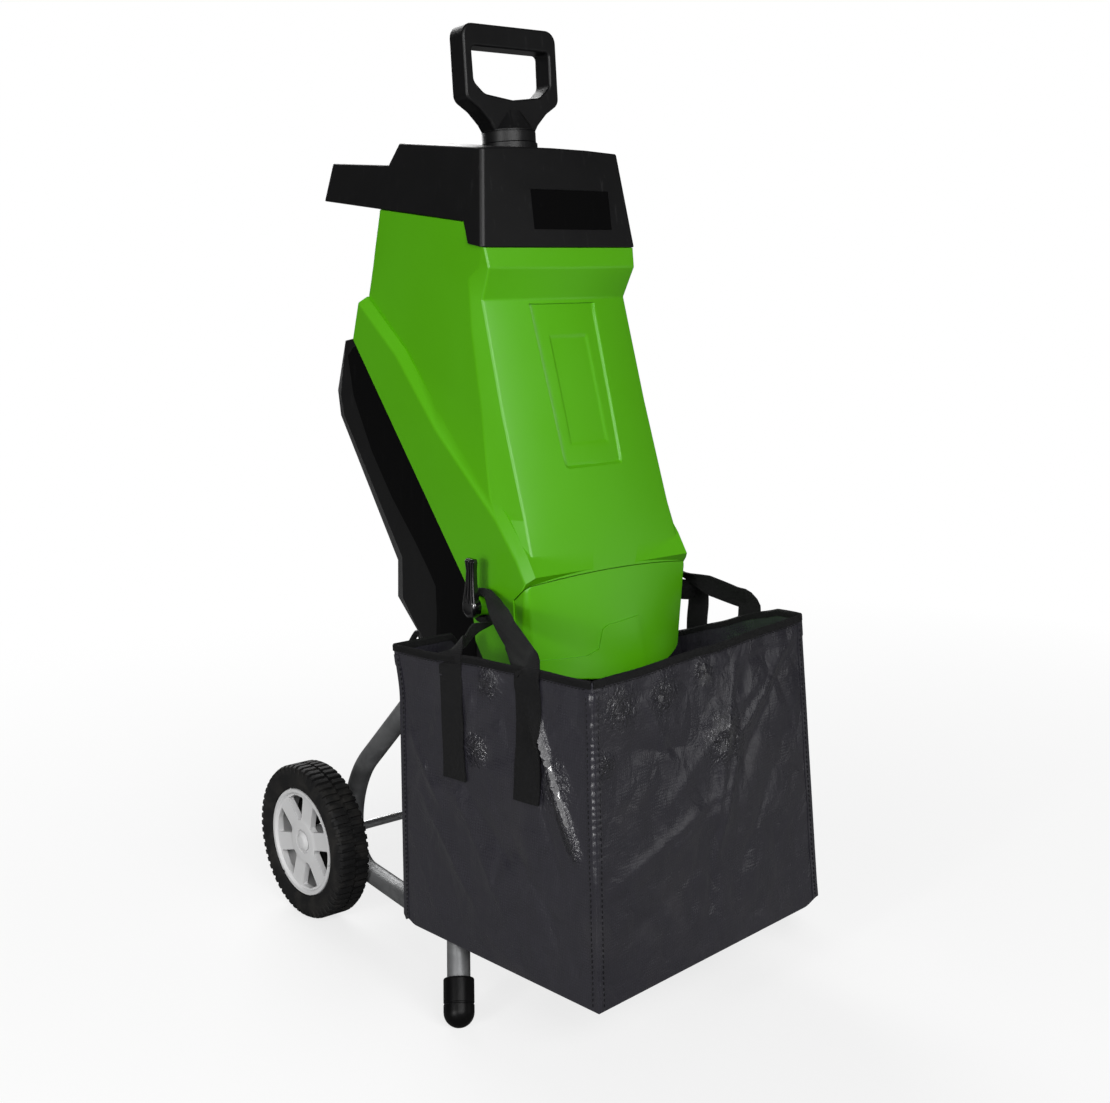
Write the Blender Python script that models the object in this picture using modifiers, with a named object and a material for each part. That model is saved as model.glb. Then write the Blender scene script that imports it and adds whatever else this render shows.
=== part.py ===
"""Electric garden shredder: wheeled frame, knife-disc drive, hinged feed tower, plunger and bag.

Metres, +Z up, the bag in front (-Y), the wheels behind (+Y), X = 0 is the plane of symmetry.
Lengths along Y are first counted from the machine's own zero and shifted onto the centre at the end.
"""
import bpy
import bmesh
from math import atan2, cos, hypot, pi, radians, sin, sqrt, tan
from mathutils import Matrix, Vector

# clearances and walls
GAP = 0.0004
RUN_GAP = 0.0010
WALL = 0.0032
SHEET = 0.0020

# deck: the plane between the green tower and the black base, tilted from the vertical
DECK_TILT = radians(40.0)
SEAM_TOP = (0.3088, 0.7031)
SEAM_LOW = (0.0776, 0.4272)
SEAM_FOOT = (0.0710, 0.3767)
SEAM_END = (0.0530, 0.3526)
SKIRT_HALF = 0.1205
BASE_HALF = SKIRT_HALF - 0.0030
BASE_BACK_HALF = BASE_HALF - 0.0175
DECK_THICK = 0.0030
DECK_LONG = 0.3300

# green tower: height, centre y, edge y, half widths of edge and side as shares of the skirt's, strip end y
TOWER_ROWS = (
    (0.8800, 0.0605, 0.0645, 0.9004, 0.9046, 0.0705),
    (0.8090, 0.0605, 0.0645, 0.9004, 0.9046, 0.0705),
    (0.7873, 0.0545, 0.0597, 0.8822, 0.9029, 0.0760),
    (0.7764, 0.0572, 0.0646, 0.8747, 0.9046, 0.0925),
    (0.7530, 0.0625, 0.0752, 0.8589, 0.9087, 0.0905),
    (0.7216, 0.0524, 0.0657, 0.8631, 0.9170, 0.0868),
    (0.6346, 0.0245, 0.0394, 0.8755, 0.9378, 0.0664),
    (0.5211, -0.0107, 0.0000, 0.8838, 0.9668, 0.0446),
    (0.4830, -0.0221, -0.0135, 0.8963, 0.9751, -0.0060),
    (0.4560, -0.0290, -0.0180, 0.9627, 0.9876, -0.0130),
)
TOWER_FOOT = ((0.3430, -0.0590), (0.3516, -0.0180))
TOWER_FOOT_HALF = (0.9004, 0.9668)
FRONT_SHARES = (0.25, 0.50, 0.75, 1.00)
FOOT_STEPS = 4
TOWER_BACK_TOP = (0.2755, 0.8500)
TOWER_BACK_LOW = (0.3027, 0.7455)
TOWER_BACK_CUT = 0.0120
SKIRT_HIGH = (0.2960, 0.7448)
CREASE = ((-0.0173, 0.4545), (-0.0020, 0.4778), (0.0330, 0.5171), (0.1420, 0.6063), (0.2190, 0.6869))
CREASE_RISE = 0.0120
EAR_LOW = ((0.0200, 0.3570), (-0.0040, 0.3570))
FRONT_SEAM = (-0.0290, 0.4597)
COVER_BACK_Y = 0.0024
FIELD_TOP = (0.7482, 0.0480)
FIELD_LOW = (0.5700, 0.0430)
FIELD_DEEP = 0.0018

# hood: side outline, then half widths
HOOD_FRONT_LOW = (0.0645, 0.8093)
HOOD_FRONT_TOP = (0.0818, 0.9145)
HOOD_STEP_TOP = (0.2380, 0.9265)
HOOD_STEP_LOW = (0.2560, 0.9030)
HOOD_LIP_TOP = (0.3760, 0.9095)
HOOD_LIP_LOW = (0.3880, 0.8650)
HOOD_NOTCH_TOP = (0.1020, 0.8370)
HOOD_NOTCH_LOW = (0.0910, 0.8130)
HOOD_HALF_LOW = 0.9336 * SKIRT_HALF
HOOD_HALF_TOP = 0.8800 * HOOD_HALF_LOW
HOOD_BOW = 0.0020
HOOD_DOME = 0.0030
LABEL = (-0.0380, 0.0770, 0.8285, 0.8725)
LABEL_DEEP = 0.0008

# plunger
PLUNGER_FOOT = (0.1580, 0.9245)
PLUNGER_LEAN = radians(5.0)
COLLAR_R = 0.0310
COLLAR_HIGH = 0.0155
GRIP_HALF = 0.0670
GRIP_HIGH = 0.1300
GRIP_DEEP = 0.0270
SHAFT_R = 0.0265
SHAFT_LONG = 0.2200
RIB_THICK = 0.0050

# throat: (y front, y back, half width) at the top, centre and half sizes at the disc
THROAT_TOP = (0.0950, 0.2120, 0.0620)
THROAT_LIP = 0.0060
THROAT_LOW_HALF = (0.0360, 0.0350)
THROAT_LOW_RISE = 0.0480
THROAT_WALL = 0.0025
FLOOR_LIFT = WALL + 0.0004

# cutting unit, on an axis square to the deck
DISC_RISE = 0.0650
DISC_R = 0.0820
DISC_THICK = 0.0050
DISC_LIFT = 0.0160
KNIFE_SIZE = (0.0500, 0.0190, 0.0030)
KNIFE_OFFSET = 0.0470
SCREW_HEAD_R = 0.0045
SCREW_HEAD_HIGH = 0.0030
SHAFT_RADIUS = 0.0070
NUT_R = 0.0110
NUT_HIGH = 0.0080
BEARING_R = 0.0160
BEARING_HIGH = 0.0100
STATOR_R = 0.0440
STATOR_WALL = 0.0140
STATOR_HIGH = 0.0460
STATOR_START = 0.0240
ROTOR_R = 0.0290
FAN_R = 0.0400
FAN_HIGH = 0.0090
SHIELD_THICK = 0.0040

# hinge between the tower and the base
HINGE_AT = (0.3220, 0.7135)
HINGE_PIN_R = 0.0025
KNUCKLE_R = 0.0065
KNUCKLE_LONG = 0.0280

# locking levers
LEVER_AT = (0.0480, 0.4225)
HUB_R = 0.0110
HUB_LONG = 0.0165
LEVER_BOSS_R = 0.0125
LEVER_THICK = 0.0110
LEVER_REACH = 0.0540
LEVER_TIP_HALF = 0.0065
LEVER_NECK_HALF = 0.0055
HUB_PIN_R = 0.0035
SCREW_AT = (0.0580, 0.3990)
SCREW_R = 0.0040

# frame
TUBE_R = 0.0125
TUBE_WALL = 0.0015
LEG_FOOT = (0.2345, -0.0450, 0.0250)
LEG_TOP = (BASE_HALF - 0.0075, 0.1220, 0.3260)
STRUT_TOP = (BASE_HALF - 0.0015, 0.1560, 0.3220)
BEND_AT = (0.1266, 0.4226, 0.0519)
BRACE_END = (0.1990, 0.0018, 0.0745)
BEND_R = 0.0750
CAP_R = 0.0165
CAP_LONG = 0.0640
CAP_OVER = 0.0450
SOCKET_HALF = 0.0215
SOCKET_HIGH = 0.0260
LUG_CORNERS = ((0.2190, 0.3590), (0.2430, 0.3310), (0.2040, 0.3310))
LUG_X = BASE_HALF - 0.0235
LUG_THICK = 0.0080

# running gear
WHEEL_AT = (0.3020, 0.0950)
WHEEL_R = 0.0950
WHEEL_FACE = 0.2198
WHEEL_WIDE = 0.0440
RIM_R = 0.0665
TREAD_DEEP = 0.0045
LUGS = 24
AXLE_R = 0.0055
HUB_CORE_R = 0.0150
SPOKES = 6
CAP_DISC_R = 0.0120

# bag: bottom and top corners (front left, front right, back right, back left)
BAG_LOW_Z = 0.0820
BAG_TOP_Z = 0.4000
BAG_LOW = ((-0.2180, -0.2500), (0.1550, -0.2030), (0.1460, 0.0460), (-0.2350, 0.0540))
BAG_TOP = ((-0.2080, -0.2260), (0.1620, -0.1600), (0.1540, 0.0380), (-0.2480, 0.0360))
BAG_WALL = 0.0025
BAG_DIP_Z = 0.3200
BAG_DIP = (-0.1450, 0.1900)
BAG_SLOT_SIDE = 0.0120
STRAP_WIDE = 0.0280
STRAP_THIN = 0.0018
STRAP_BUNCH = 0.0130
STRAP_DROP = 0.1300
STRAP_LEFT_Y = (-0.0450, -0.1480)
STRAP_RIGHT_Y = (0.0000, -0.0800)

# switch module, inlet
PANEL_TOP = (0.3531, 0.6959)
PANEL_LOW = (0.3763, 0.6358)
SWITCH_SIZE = (0.0700, 0.0440, 0.0040)
BUTTON_SIZE = (0.0200, 0.0260, 0.0050)
RESET_R = 0.0055
INLET_R = 0.0190
INLET_DEEP = 0.0200

GREEN = (0.0843, 0.3864, 0.0061, 1.0)
BLACK = (0.0110, 0.0110, 0.0122, 1.0)
SHELL_BLACK = (0.0170, 0.0170, 0.0180, 1.0)
GLOSS_BLACK = (0.0060, 0.0060, 0.0065, 1.0)
TUBE_GREY = (0.1150, 0.1230, 0.1310, 1.0)
HUB_GREY = (0.4500, 0.4500, 0.4500, 1.0)
STEEL = (0.5600, 0.5700, 0.5800, 1.0)
COPPER = (0.5500, 0.2300, 0.1000, 1.0)
RUBBER = (0.0080, 0.0080, 0.0085, 1.0)
CLOTH = (0.0280, 0.0270, 0.0330, 1.0)
WEBBING = (0.0160, 0.0160, 0.0170, 1.0)
RED = (0.4200, 0.0180, 0.0120, 1.0)

DOWN_DECK = Vector((0.0, -sin(DECK_TILT), -cos(DECK_TILT)))
UP_DECK = -DOWN_DECK
OUT_DECK = Vector((0.0, cos(DECK_TILT), -sin(DECK_TILT)))
PLUNGER_UP = Vector((0.0, sin(PLUNGER_LEAN), cos(PLUNGER_LEAN)))
SIDE = Vector((1.0, 0.0, 0.0))
CENTRE_Y = 0.5 * (BAG_LOW[0][1] + WHEEL_AT[0] + WHEEL_R)

for stale in list(bpy.data.objects):
    bpy.data.objects.remove(stale, do_unlink=True)

PARTS = bpy.data.collections.new("electric_garden_shredder")
CUTTERS = bpy.data.collections.new("cutters")
bpy.context.scene.collection.children.link(PARTS)
bpy.context.scene.collection.children.link(CUTTERS)


def finish(name, colour, metallic=0.0, roughness=0.5):
    """Return a plain Principled material."""
    material = bpy.data.materials.new(name)
    material.use_nodes = True
    shader = material.node_tree.nodes["Principled BSDF"]
    shader.inputs["Base Color"].default_value = colour
    shader.inputs["Metallic"].default_value = metallic
    shader.inputs["Roughness"].default_value = roughness
    material.diffuse_color = colour
    return material


def part(name, mesh, colour, metallic=0.0, roughness=0.5):
    """Put a mesh into the object's collection as a node with its own material."""
    mesh.name = name
    obj = bpy.data.objects.new(name, mesh)
    PARTS.objects.link(obj)
    mesh.materials.clear()
    mesh.materials.append(finish(name, colour, metallic, roughness))
    return obj


def cutter(name, mesh):
    """Put a mesh into the cutters' collection."""
    mesh.name = name
    obj = bpy.data.objects.new(name, mesh)
    CUTTERS.objects.link(obj)
    obj.hide_render = True
    obj.display_type = "WIRE"
    return obj


def boolean(target, tool, operation="DIFFERENCE"):
    """Add a live exact Boolean."""
    modifier = target.modifiers.new(tool.name, "BOOLEAN")
    modifier.operation = operation
    modifier.solver = "EXACT"
    modifier.object = tool


def bevel(obj, width, segments=2, limit=28.0):
    """Round the sharp edges."""
    modifier = obj.modifiers.new("rounding", "BEVEL")
    modifier.width = width
    modifier.segments = segments
    modifier.limit_method = "ANGLE"
    modifier.angle_limit = radians(limit)
    modifier.use_clamp_overlap = True
    modifier.harden_normals = False


def loft(rings, closed=False):
    """Skin unlike sections with the same number of points; the ends are capped unless closed."""
    mesh = bpy.data.meshes.new("loft")
    work = bmesh.new()
    rows = [[work.verts.new(point) for point in ring] for ring in rings]
    count = len(rows[0])
    pairs = list(zip(rows, rows[1:] + rows[:1])) if closed else list(zip(rows, rows[1:]))
    for lower, upper in pairs:
        for index in range(count):
            after = (index + 1) % count
            work.faces.new((lower[index], lower[after], upper[after], upper[index]))
    if not closed:
        work.faces.new(list(reversed(rows[0])))
        work.faces.new(rows[-1])
    bmesh.ops.recalc_face_normals(work, faces=work.faces)
    work.to_mesh(mesh)
    work.free()
    return mesh


def slab(outline, low, high):
    """A prism along X from a side outline of (y, z) points."""
    return loft([[(x, y, z) for y, z in outline] for x in (low, high)])


def block(size, centre=(0.0, 0.0, 0.0), frame=None):
    """A box of the given size about a centre, optionally turned."""
    mesh = bpy.data.meshes.new("block")
    work = bmesh.new()
    bmesh.ops.create_cube(work, size=1.0)
    place = Matrix.Translation(Vector(centre))
    if frame is not None:
        place = place @ frame
    bmesh.ops.transform(work, matrix=place @ Matrix.Diagonal((*size, 1.0)), verts=work.verts)
    work.to_mesh(mesh)
    work.free()
    return mesh


def turned(axis, right=SIDE):
    """Rotation whose Z runs along axis and whose X lies along right."""
    along = Vector(axis).normalized()
    across = Vector(right) - along * Vector(right).dot(along)
    across.normalize()
    third = along.cross(across)
    return Matrix((across, third, along)).transposed().to_4x4()


def rod(start, end, radius, sides=24, tip=None):
    """A round bar or a cone from start to end."""
    start = Vector(start)
    end = Vector(end)
    mesh = bpy.data.meshes.new("rod")
    work = bmesh.new()
    bmesh.ops.create_cone(work, cap_ends=True, segments=sides, radius1=radius,
                          radius2=radius if tip is None else tip, depth=(end - start).length)
    across = Vector((0.0, 1.0, 0.0)) if abs((end - start).normalized().x) > 0.9 else SIDE
    place = Matrix.Translation((start + end) / 2.0) @ turned(end - start, across)
    bmesh.ops.transform(work, matrix=place, verts=work.verts)
    work.to_mesh(mesh)
    work.free()
    return mesh


def lathe(name, profile, origin, axis, colour, metallic=0.0, roughness=0.5, sides=32):
    """A turned node: the profile of (radius, height) is spun by a Screw about axis through origin."""
    mesh = bpy.data.meshes.new(name)
    work = bmesh.new()
    area = sum(a[0] * b[1] - b[0] * a[1] for a, b in zip(profile, profile[1:] + profile[:1]))
    ordered = profile[::-1] if area > 0.0 else profile
    verts = [work.verts.new((radius, 0.0, height)) for radius, height in ordered]
    ring = profile[0][0] > 1e-6
    for first, second in zip(verts, verts[1:] + (verts[:1] if ring else [])):
        work.edges.new((first, second))
    work.to_mesh(mesh)
    work.free()
    obj = part(name, mesh, colour, metallic, roughness)
    across = Vector((0.0, 1.0, 0.0)) if abs(Vector(axis).normalized().x) > 0.9 else SIDE
    obj.matrix_world = Matrix.Translation(Vector(origin)) @ turned(axis, across)
    screw = obj.modifiers.new("spin", "SCREW")
    screw.axis = "Z"
    screw.steps = sides
    screw.render_steps = sides
    screw.use_merge_vertices = True
    screw.merge_threshold = 0.0001
    return obj


def filleted(points, radius, steps=8):
    """Polyline with its inner corners rounded."""
    points = [Vector(point) for point in points]
    path = [points[0]]
    for before, corner, after in zip(points, points[1:], points[2:]):
        back = (before - corner).normalized()
        on = (after - corner).normalized()
        half = back.angle(on) / 2.0
        reach = radius / tan(half)
        centre = corner + (back + on).normalized() * radius / sin(half)
        start = corner + back * reach - centre
        end = corner + on * reach - centre
        normal = start.cross(end).normalized()
        sweep = start.angle(end)
        for step in range(steps + 1):
            path.append(centre + Matrix.Rotation(sweep * step / steps, 3, normal) @ start)
    path.append(points[-1])
    return path


def swept(points, radius, resolution=1):
    """Mesh of a round tube with filled caps along a polyline."""
    curve = bpy.data.curves.new("run", "CURVE")
    curve.dimensions = "3D"
    curve.bevel_depth = radius
    curve.bevel_resolution = resolution
    curve.resolution_u = 1
    curve.render_resolution_u = 0
    curve.use_fill_caps = True
    spline = curve.splines.new("POLY")
    spline.points.add(len(points) - 1)
    for knot, point in zip(spline.points, points):
        knot.co = (*point, 1.0)
    holder = bpy.data.objects.new("run", curve)
    CUTTERS.objects.link(holder)
    seen = holder.evaluated_get(bpy.context.evaluated_depsgraph_get())
    mesh = bpy.data.meshes.new_from_object(seen)
    mesh.transform(holder.matrix_world)
    work = bmesh.new()
    work.from_mesh(mesh)
    bmesh.ops.remove_doubles(work, verts=work.verts, dist=0.00002)
    bmesh.ops.recalc_face_normals(work, faces=work.faces)
    work.to_mesh(mesh)
    work.free()
    bpy.data.objects.remove(holder, do_unlink=True)
    return mesh


def seam_point(rise, depth=0.0):
    """Point on the deck plane, rise above SEAM_LOW along the seam and depth behind the plane."""
    return Vector((0.0, SEAM_LOW[0], SEAM_LOW[1])) + UP_DECK * rise + OUT_DECK * depth


def mirrored(point, side):
    """The point on the left (side -1) or right (side 1)."""
    return Vector((side * point[0], point[1], point[2]))


def back_of(height):
    """Tower's rear edge at a height."""
    slope = (TOWER_BACK_LOW[0] - TOWER_BACK_TOP[0]) / (TOWER_BACK_TOP[1] - TOWER_BACK_LOW[1])
    return TOWER_BACK_TOP[0] + slope * (TOWER_BACK_TOP[1] - height)


def tower_ring(row, inset, heights=None):
    """One level section of the tower, front centre first, then round by the right side."""
    height, centre, edge, half, side, strip = row
    if heights is None:
        heights = (height,) * 6
    back = back_of(height) - inset
    half = half * SKIRT_HALF - inset
    side = side * SKIRT_HALF - inset
    right = []
    for reach in FRONT_SHARES:
        bow = reach * reach
        level = heights[0] + bow * (heights[2] - heights[0])
        right.append((reach * half, centre + bow * (edge - centre) + inset, level))
    right += [
        (side, strip + 0.6 * inset, heights[3]),
        (side, back - TOWER_BACK_CUT, heights[4]),
        (side - TOWER_BACK_CUT, back, heights[5]),
    ]
    left = [(-x, y, z) for x, y, z in reversed(right)]
    return [(0.0, centre + inset, heights[0])] + right + left


def tower_mesh(inset=0.0, over=0.0):
    """The tower's hull from its foot to the hood, thinner by inset and longer by over."""
    foot_centre, foot_edge = TOWER_FOOT
    foot = (foot_centre[0], foot_centre[1], foot_edge[1], TOWER_FOOT_HALF[0], TOWER_FOOT_HALF[1], EAR_LOW[1][0])
    side_foot = EAR_LOW[0][1]
    heights = (foot_centre[0], foot_centre[0], foot_edge[0], side_foot, side_foot, side_foot)
    low = foot_centre[0] - over
    rings = []
    if over:
        rings.append(tower_ring((low,) + foot[1:], inset))
    rings.append(tower_ring(foot, inset, heights))
    above = TOWER_ROWS[-1]
    for step in range(1, FOOT_STEPS):
        share = step / FOOT_STEPS
        row = [a + share * (b - a) for a, b in zip(foot, above)]
        rings.append(tower_ring(row, inset, [h + share * (above[0] - h) for h in heights]))
    for index, row in enumerate(reversed(TOWER_ROWS)):
        extra = over if index == len(TOWER_ROWS) - 1 else 0.0
        rings.append(tower_ring((row[0] + extra,) + row[1:], inset))
    return loft(rings)


def front_y(height, across):
    """Tower's front surface at a height and a distance from the centre."""
    rows = [(TOWER_FOOT[0][0], TOWER_FOOT[0][1], TOWER_FOOT[1][1], TOWER_FOOT_HALF[0])]
    rows += [row[:4] for row in reversed(TOWER_ROWS)]
    for low, high in zip(rows, rows[1:]):
        if low[0] <= height <= high[0]:
            share = (height - low[0]) / (high[0] - low[0])
            centre, edge, half = (low[k] + share * (high[k] - low[k]) for k in (1, 2, 3))
            reach = abs(across) / (half * SKIRT_HALF)
            return centre + reach * reach * (edge - centre)
    return rows[-1][1]


def seam_outline(push):
    """The seam's polyline from the top down, pushed back (+) or forward (-)."""
    turn = OUT_DECK
    moved = [(y + push * turn.y, z + push * turn.z) for y, z in (SEAM_TOP, SEAM_LOW)]
    moved += [(SEAM_FOOT[0] + push, SEAM_FOOT[1]), (SEAM_END[0] + push, SEAM_END[1])]
    return moved


def skirt_outline(inset, rise=0.0, behind=0.0):
    """Side outline of the flared skirt and ear; rise widens it over the crease."""
    crease = []
    for y, z in CREASE:
        crease.append((y - (rise - inset) * OUT_DECK.y, z - (rise - inset) * OUT_DECK.z))
    high = (SKIRT_HIGH[0] - rise * OUT_DECK.y, SKIRT_HIGH[1] - inset - rise * OUT_DECK.z)
    seam = seam_outline(behind)
    front = [(EAR_LOW[1][0] + inset, EAR_LOW[1][1] - behind), (COVER_BACK_Y - 0.004 + inset, 0.430)]
    low = [(EAR_LOW[0][0], EAR_LOW[0][1] - behind)]
    if behind:
        seam[-1] = (seam[-1][0], seam[-1][1] - behind)
        seam.insert(0, (SEAM_TOP[0] - inset, SEAM_TOP[1]))
    return [high] + seam + low + front + crease


def skirt_mesh(inset=0.0, behind=0.0):
    """Skirt and ears as one solid across the machine."""
    outer = skirt_outline(inset, 0.0, behind)
    inner = skirt_outline(inset, CREASE_RISE, behind)
    wide = SKIRT_HALF - inset
    near = wide - 0.0110
    rings = []
    for x, outline in ((-wide, outer), (-near, inner), (near, inner), (wide, outer)):
        rings.append([(x, y, z) for y, z in outline])
    return loft(rings)


def cover_region(push):
    """Side outline of the space that belongs to the discharge cover, grown by push."""
    run = (COVER_BACK_Y + push - FRONT_SEAM[0]) / OUT_DECK.y
    corner = (COVER_BACK_Y + push, FRONT_SEAM[1] + push / OUT_DECK.y + OUT_DECK.z * run)
    lead = 0.25
    start = (FRONT_SEAM[0] - lead * OUT_DECK.y, FRONT_SEAM[1] + push / OUT_DECK.y - lead * OUT_DECK.z)
    return [start, corner, (-0.0040 + push, 0.3400), (-0.0040 + push, 0.2500), (start[0], 0.2500)]


def behind_seam(push):
    """Side outline of everything behind the seam, for cutting."""
    seam = seam_outline(push)
    return [seam[0], seam[1], seam[2], seam[3], (seam[3][0], 0.20), (0.60, 0.20), (0.60, seam[0][1])]


def hood_space(push):
    """Side outline of the space above the hood's lower edge, lowered by push."""
    return [(-0.10, HOOD_FRONT_LOW[1] - push), (HOOD_FRONT_LOW[0], HOOD_FRONT_LOW[1] - push),
            (HOOD_NOTCH_LOW[0] + push, HOOD_NOTCH_LOW[1] - push),
            (HOOD_NOTCH_TOP[0] + push, HOOD_NOTCH_TOP[1] - push), (0.60, hood_floor(0.60) - push),
            (0.60, 1.20), (-0.10, 1.20)]


def hood_floor(y):
    """Height of the hood's lower edge behind the notch."""
    slope = (HOOD_LIP_LOW[1] - HOOD_NOTCH_TOP[1]) / (HOOD_LIP_LOW[0] - HOOD_NOTCH_TOP[0])
    return HOOD_NOTCH_TOP[1] + slope * (y - HOOD_NOTCH_TOP[0])


def hood_half(height):
    """Half width of the hood at a height."""
    share = (height - HOOD_FRONT_LOW[1]) / (HOOD_FRONT_TOP[1] - HOOD_FRONT_LOW[1])
    return HOOD_HALF_LOW + (HOOD_HALF_TOP - HOOD_HALF_LOW) * share


def hood_loft(outline, inset=0.0, bow=HOOD_BOW, dome=HOOD_DOME):
    """Loft a side outline of (y, z, bowed, domed) across the tapering hood."""
    rings = []
    for share in (-1.0, -0.5, 0.0, 0.5, 1.0):
        swell = 1.0 - share * share
        ring = []
        for y, z, bowed, domed in outline:
            ring.append((share * (hood_half(z) - inset), y - bow * swell * bowed, z + dome * swell * domed))
        rings.append(ring)
    return loft(rings)


def throat_ring(inset, low, lift=0.0):
    """Throat section on the hood's floor, raised by lift or, low, parallel to the disc."""
    if not low:
        front, back, half = THROAT_TOP
        half -= inset
        points = [(-half, front + inset), (half, front + inset), (half, back - inset), (-half, back - inset)]
        return [(x, y, hood_floor(y) + FLOOR_LIFT + lift) for x, y in points]
    across, along = THROAT_LOW_HALF
    middle = seam_point(DISC_RISE + THROAT_LOW_RISE, -(DISC_LIFT + DISC_THICK + KNIFE_SIZE[2] + 0.006))
    across -= inset
    along -= inset
    corners = [(-across, -along), (across, -along), (across, along), (-across, along)]
    return [middle + SIDE * x + UP_DECK * rise for x, rise in corners]


# hood
hood_outline = [
    (*HOOD_FRONT_LOW, 1, 0), (*HOOD_FRONT_TOP, 1, 1), (*HOOD_STEP_TOP, 0, 1), (*HOOD_STEP_LOW, 0, 0),
    (*HOOD_LIP_TOP, 0, 0), (*HOOD_LIP_LOW, 0, 0), (*HOOD_NOTCH_TOP, 0, 0), (*HOOD_NOTCH_LOW, 0, 0),
]
hood = part("hopper_hood", hood_loft(hood_outline), BLACK, roughness=0.45)
bevel(hood, 0.0016, 2)
cavity = [
    (HOOD_FRONT_LOW[0] + 0.0085, hood_floor(HOOD_FRONT_LOW[0]) + FLOOR_LIFT, 1, 0),
    (HOOD_FRONT_TOP[0] + WALL, HOOD_FRONT_TOP[1] - WALL - 0.0006, 1, 1),
    (HOOD_STEP_TOP[0] - 0.006, HOOD_STEP_TOP[1] - WALL, 0, 1),
    (HOOD_STEP_LOW[0] - 0.0035, HOOD_STEP_LOW[1] + 0.0040, 0, 0),
    (HOOD_STEP_LOW[0] + 0.0040, HOOD_STEP_LOW[1] + 0.0200, 0, 0),
    (HOOD_LIP_TOP[0] + 0.0300, HOOD_LIP_TOP[1] + 0.0200, 0, 0),
    (HOOD_LIP_TOP[0] + 0.0300, hood_floor(HOOD_LIP_TOP[0] + 0.0300) + FLOOR_LIFT, 0, 0),
]
boolean(hood, cutter("hopper_space", hood_loft(cavity, WALL)))
pocket = [
    (HOOD_FRONT_LOW[0] + 0.0085, HOOD_FRONT_LOW[1] - 0.010, 1, 0),
    (HOOD_FRONT_LOW[0] + 0.0085, hood_floor(HOOD_FRONT_LOW[0]) - 0.0005, 1, 0),
    (HOOD_NOTCH_TOP[0] - 0.0040, hood_floor(HOOD_NOTCH_TOP[0]) - 0.0005, 0, 0),
    (HOOD_NOTCH_LOW[0] - 0.0020, HOOD_NOTCH_LOW[1] - 0.010, 0, 0),
]
boolean(hood, cutter("hood_skirt_space", hood_loft(pocket, WALL)))
front, back, half = THROAT_TOP
mouth_size = (2 * (half + GAP), back - front + 2 * GAP, 0.080)
mouth = block(mouth_size, (0.0, 0.5 * (front + back), hood_floor(0.5 * (front + back))))
boolean(hood, cutter("throat_mouth", mouth))
seat = Vector((0.0, *PLUNGER_FOOT))
boss = cutter("plunger_seat", rod(seat - PLUNGER_UP * 0.0120, seat, COLLAR_R + 0.0015, 36))
boolean(hood, boss, "UNION")
spot = rod(seat, seat + PLUNGER_UP * 0.030, COLLAR_R + 0.0020, 36)
boolean(hood, cutter("seat_face", spot))
bore = rod(seat - PLUNGER_UP * 0.040, seat + PLUNGER_UP * 0.02, SHAFT_R + RUN_GAP, 36)
boolean(hood, cutter("plunger_bore", bore))
lean = (HOOD_FRONT_TOP[0] - HOOD_FRONT_LOW[0]) / (HOOD_FRONT_TOP[1] - HOOD_FRONT_LOW[1])
label_rings = []
for x in (LABEL[0], LABEL[1]):
    ring = []
    for z, deep in ((LABEL[2], -0.01), (LABEL[3], -0.01), (LABEL[3], LABEL_DEEP), (LABEL[2], LABEL_DEEP)):
        ring.append((x, HOOD_FRONT_LOW[0] - 0.55 * HOOD_BOW + lean * (z - HOOD_FRONT_LOW[1]) + deep, z))
    label_rings.append(ring)
boolean(hood, cutter("hood_label", loft(label_rings)))

# plunger
def grip_point(x, high, depth=0.0):
    """Point in the plunger's own plane."""
    return seat + SIDE * x + PLUNGER_UP * high + SIDE.cross(PLUNGER_UP) * -depth


GRIP_SIDE = ((0.0550, 1.0), (0.0625, 0.983), (GRIP_HALF, 0.935), (GRIP_HALF, 0.392), (0.0610, 0.340),
             (0.0460, 0.262), (0.0360, 0.190), (COLLAR_R - 0.0006, 0.115))
HOLE_SIDE = ((0.0520, 0.800), (0.0555, 0.770), (0.0545, 0.505), (0.0440, 0.430), (0.0230, 0.392), (0.0, 0.380))


def grip_rings(side_points, depth):
    """Front and back outline of a symmetric plate in the plunger's plane."""
    right = [(x, share * GRIP_HIGH) for x, share in side_points]
    left = [(-x, v) for x, v in reversed(right) if x > 1e-6]
    outline = right + left
    return [[grip_point(x, v, level) for x, v in outline] for level in (-depth / 2, depth / 2)]


handle = part("plunger_handle", loft(grip_rings(GRIP_SIDE, GRIP_DEEP)), BLACK, roughness=0.4)
bevel(handle, 0.0040, 2)
hole = cutter("grip_hole", loft(grip_rings(HOLE_SIDE, 3 * GRIP_DEEP)))
boolean(handle, hole)
collar = rod(seat + PLUNGER_UP * GAP, seat + PLUNGER_UP * COLLAR_HIGH, COLLAR_R, 36)
boolean(handle, cutter("collar", collar), "UNION")
shoulder = rod(seat + PLUNGER_UP * (COLLAR_HIGH - 0.0005), seat + PLUNGER_UP * 0.040, COLLAR_R - 0.0012, 28, 0.0140)
boolean(handle, cutter("shoulder", shoulder), "UNION")

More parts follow.
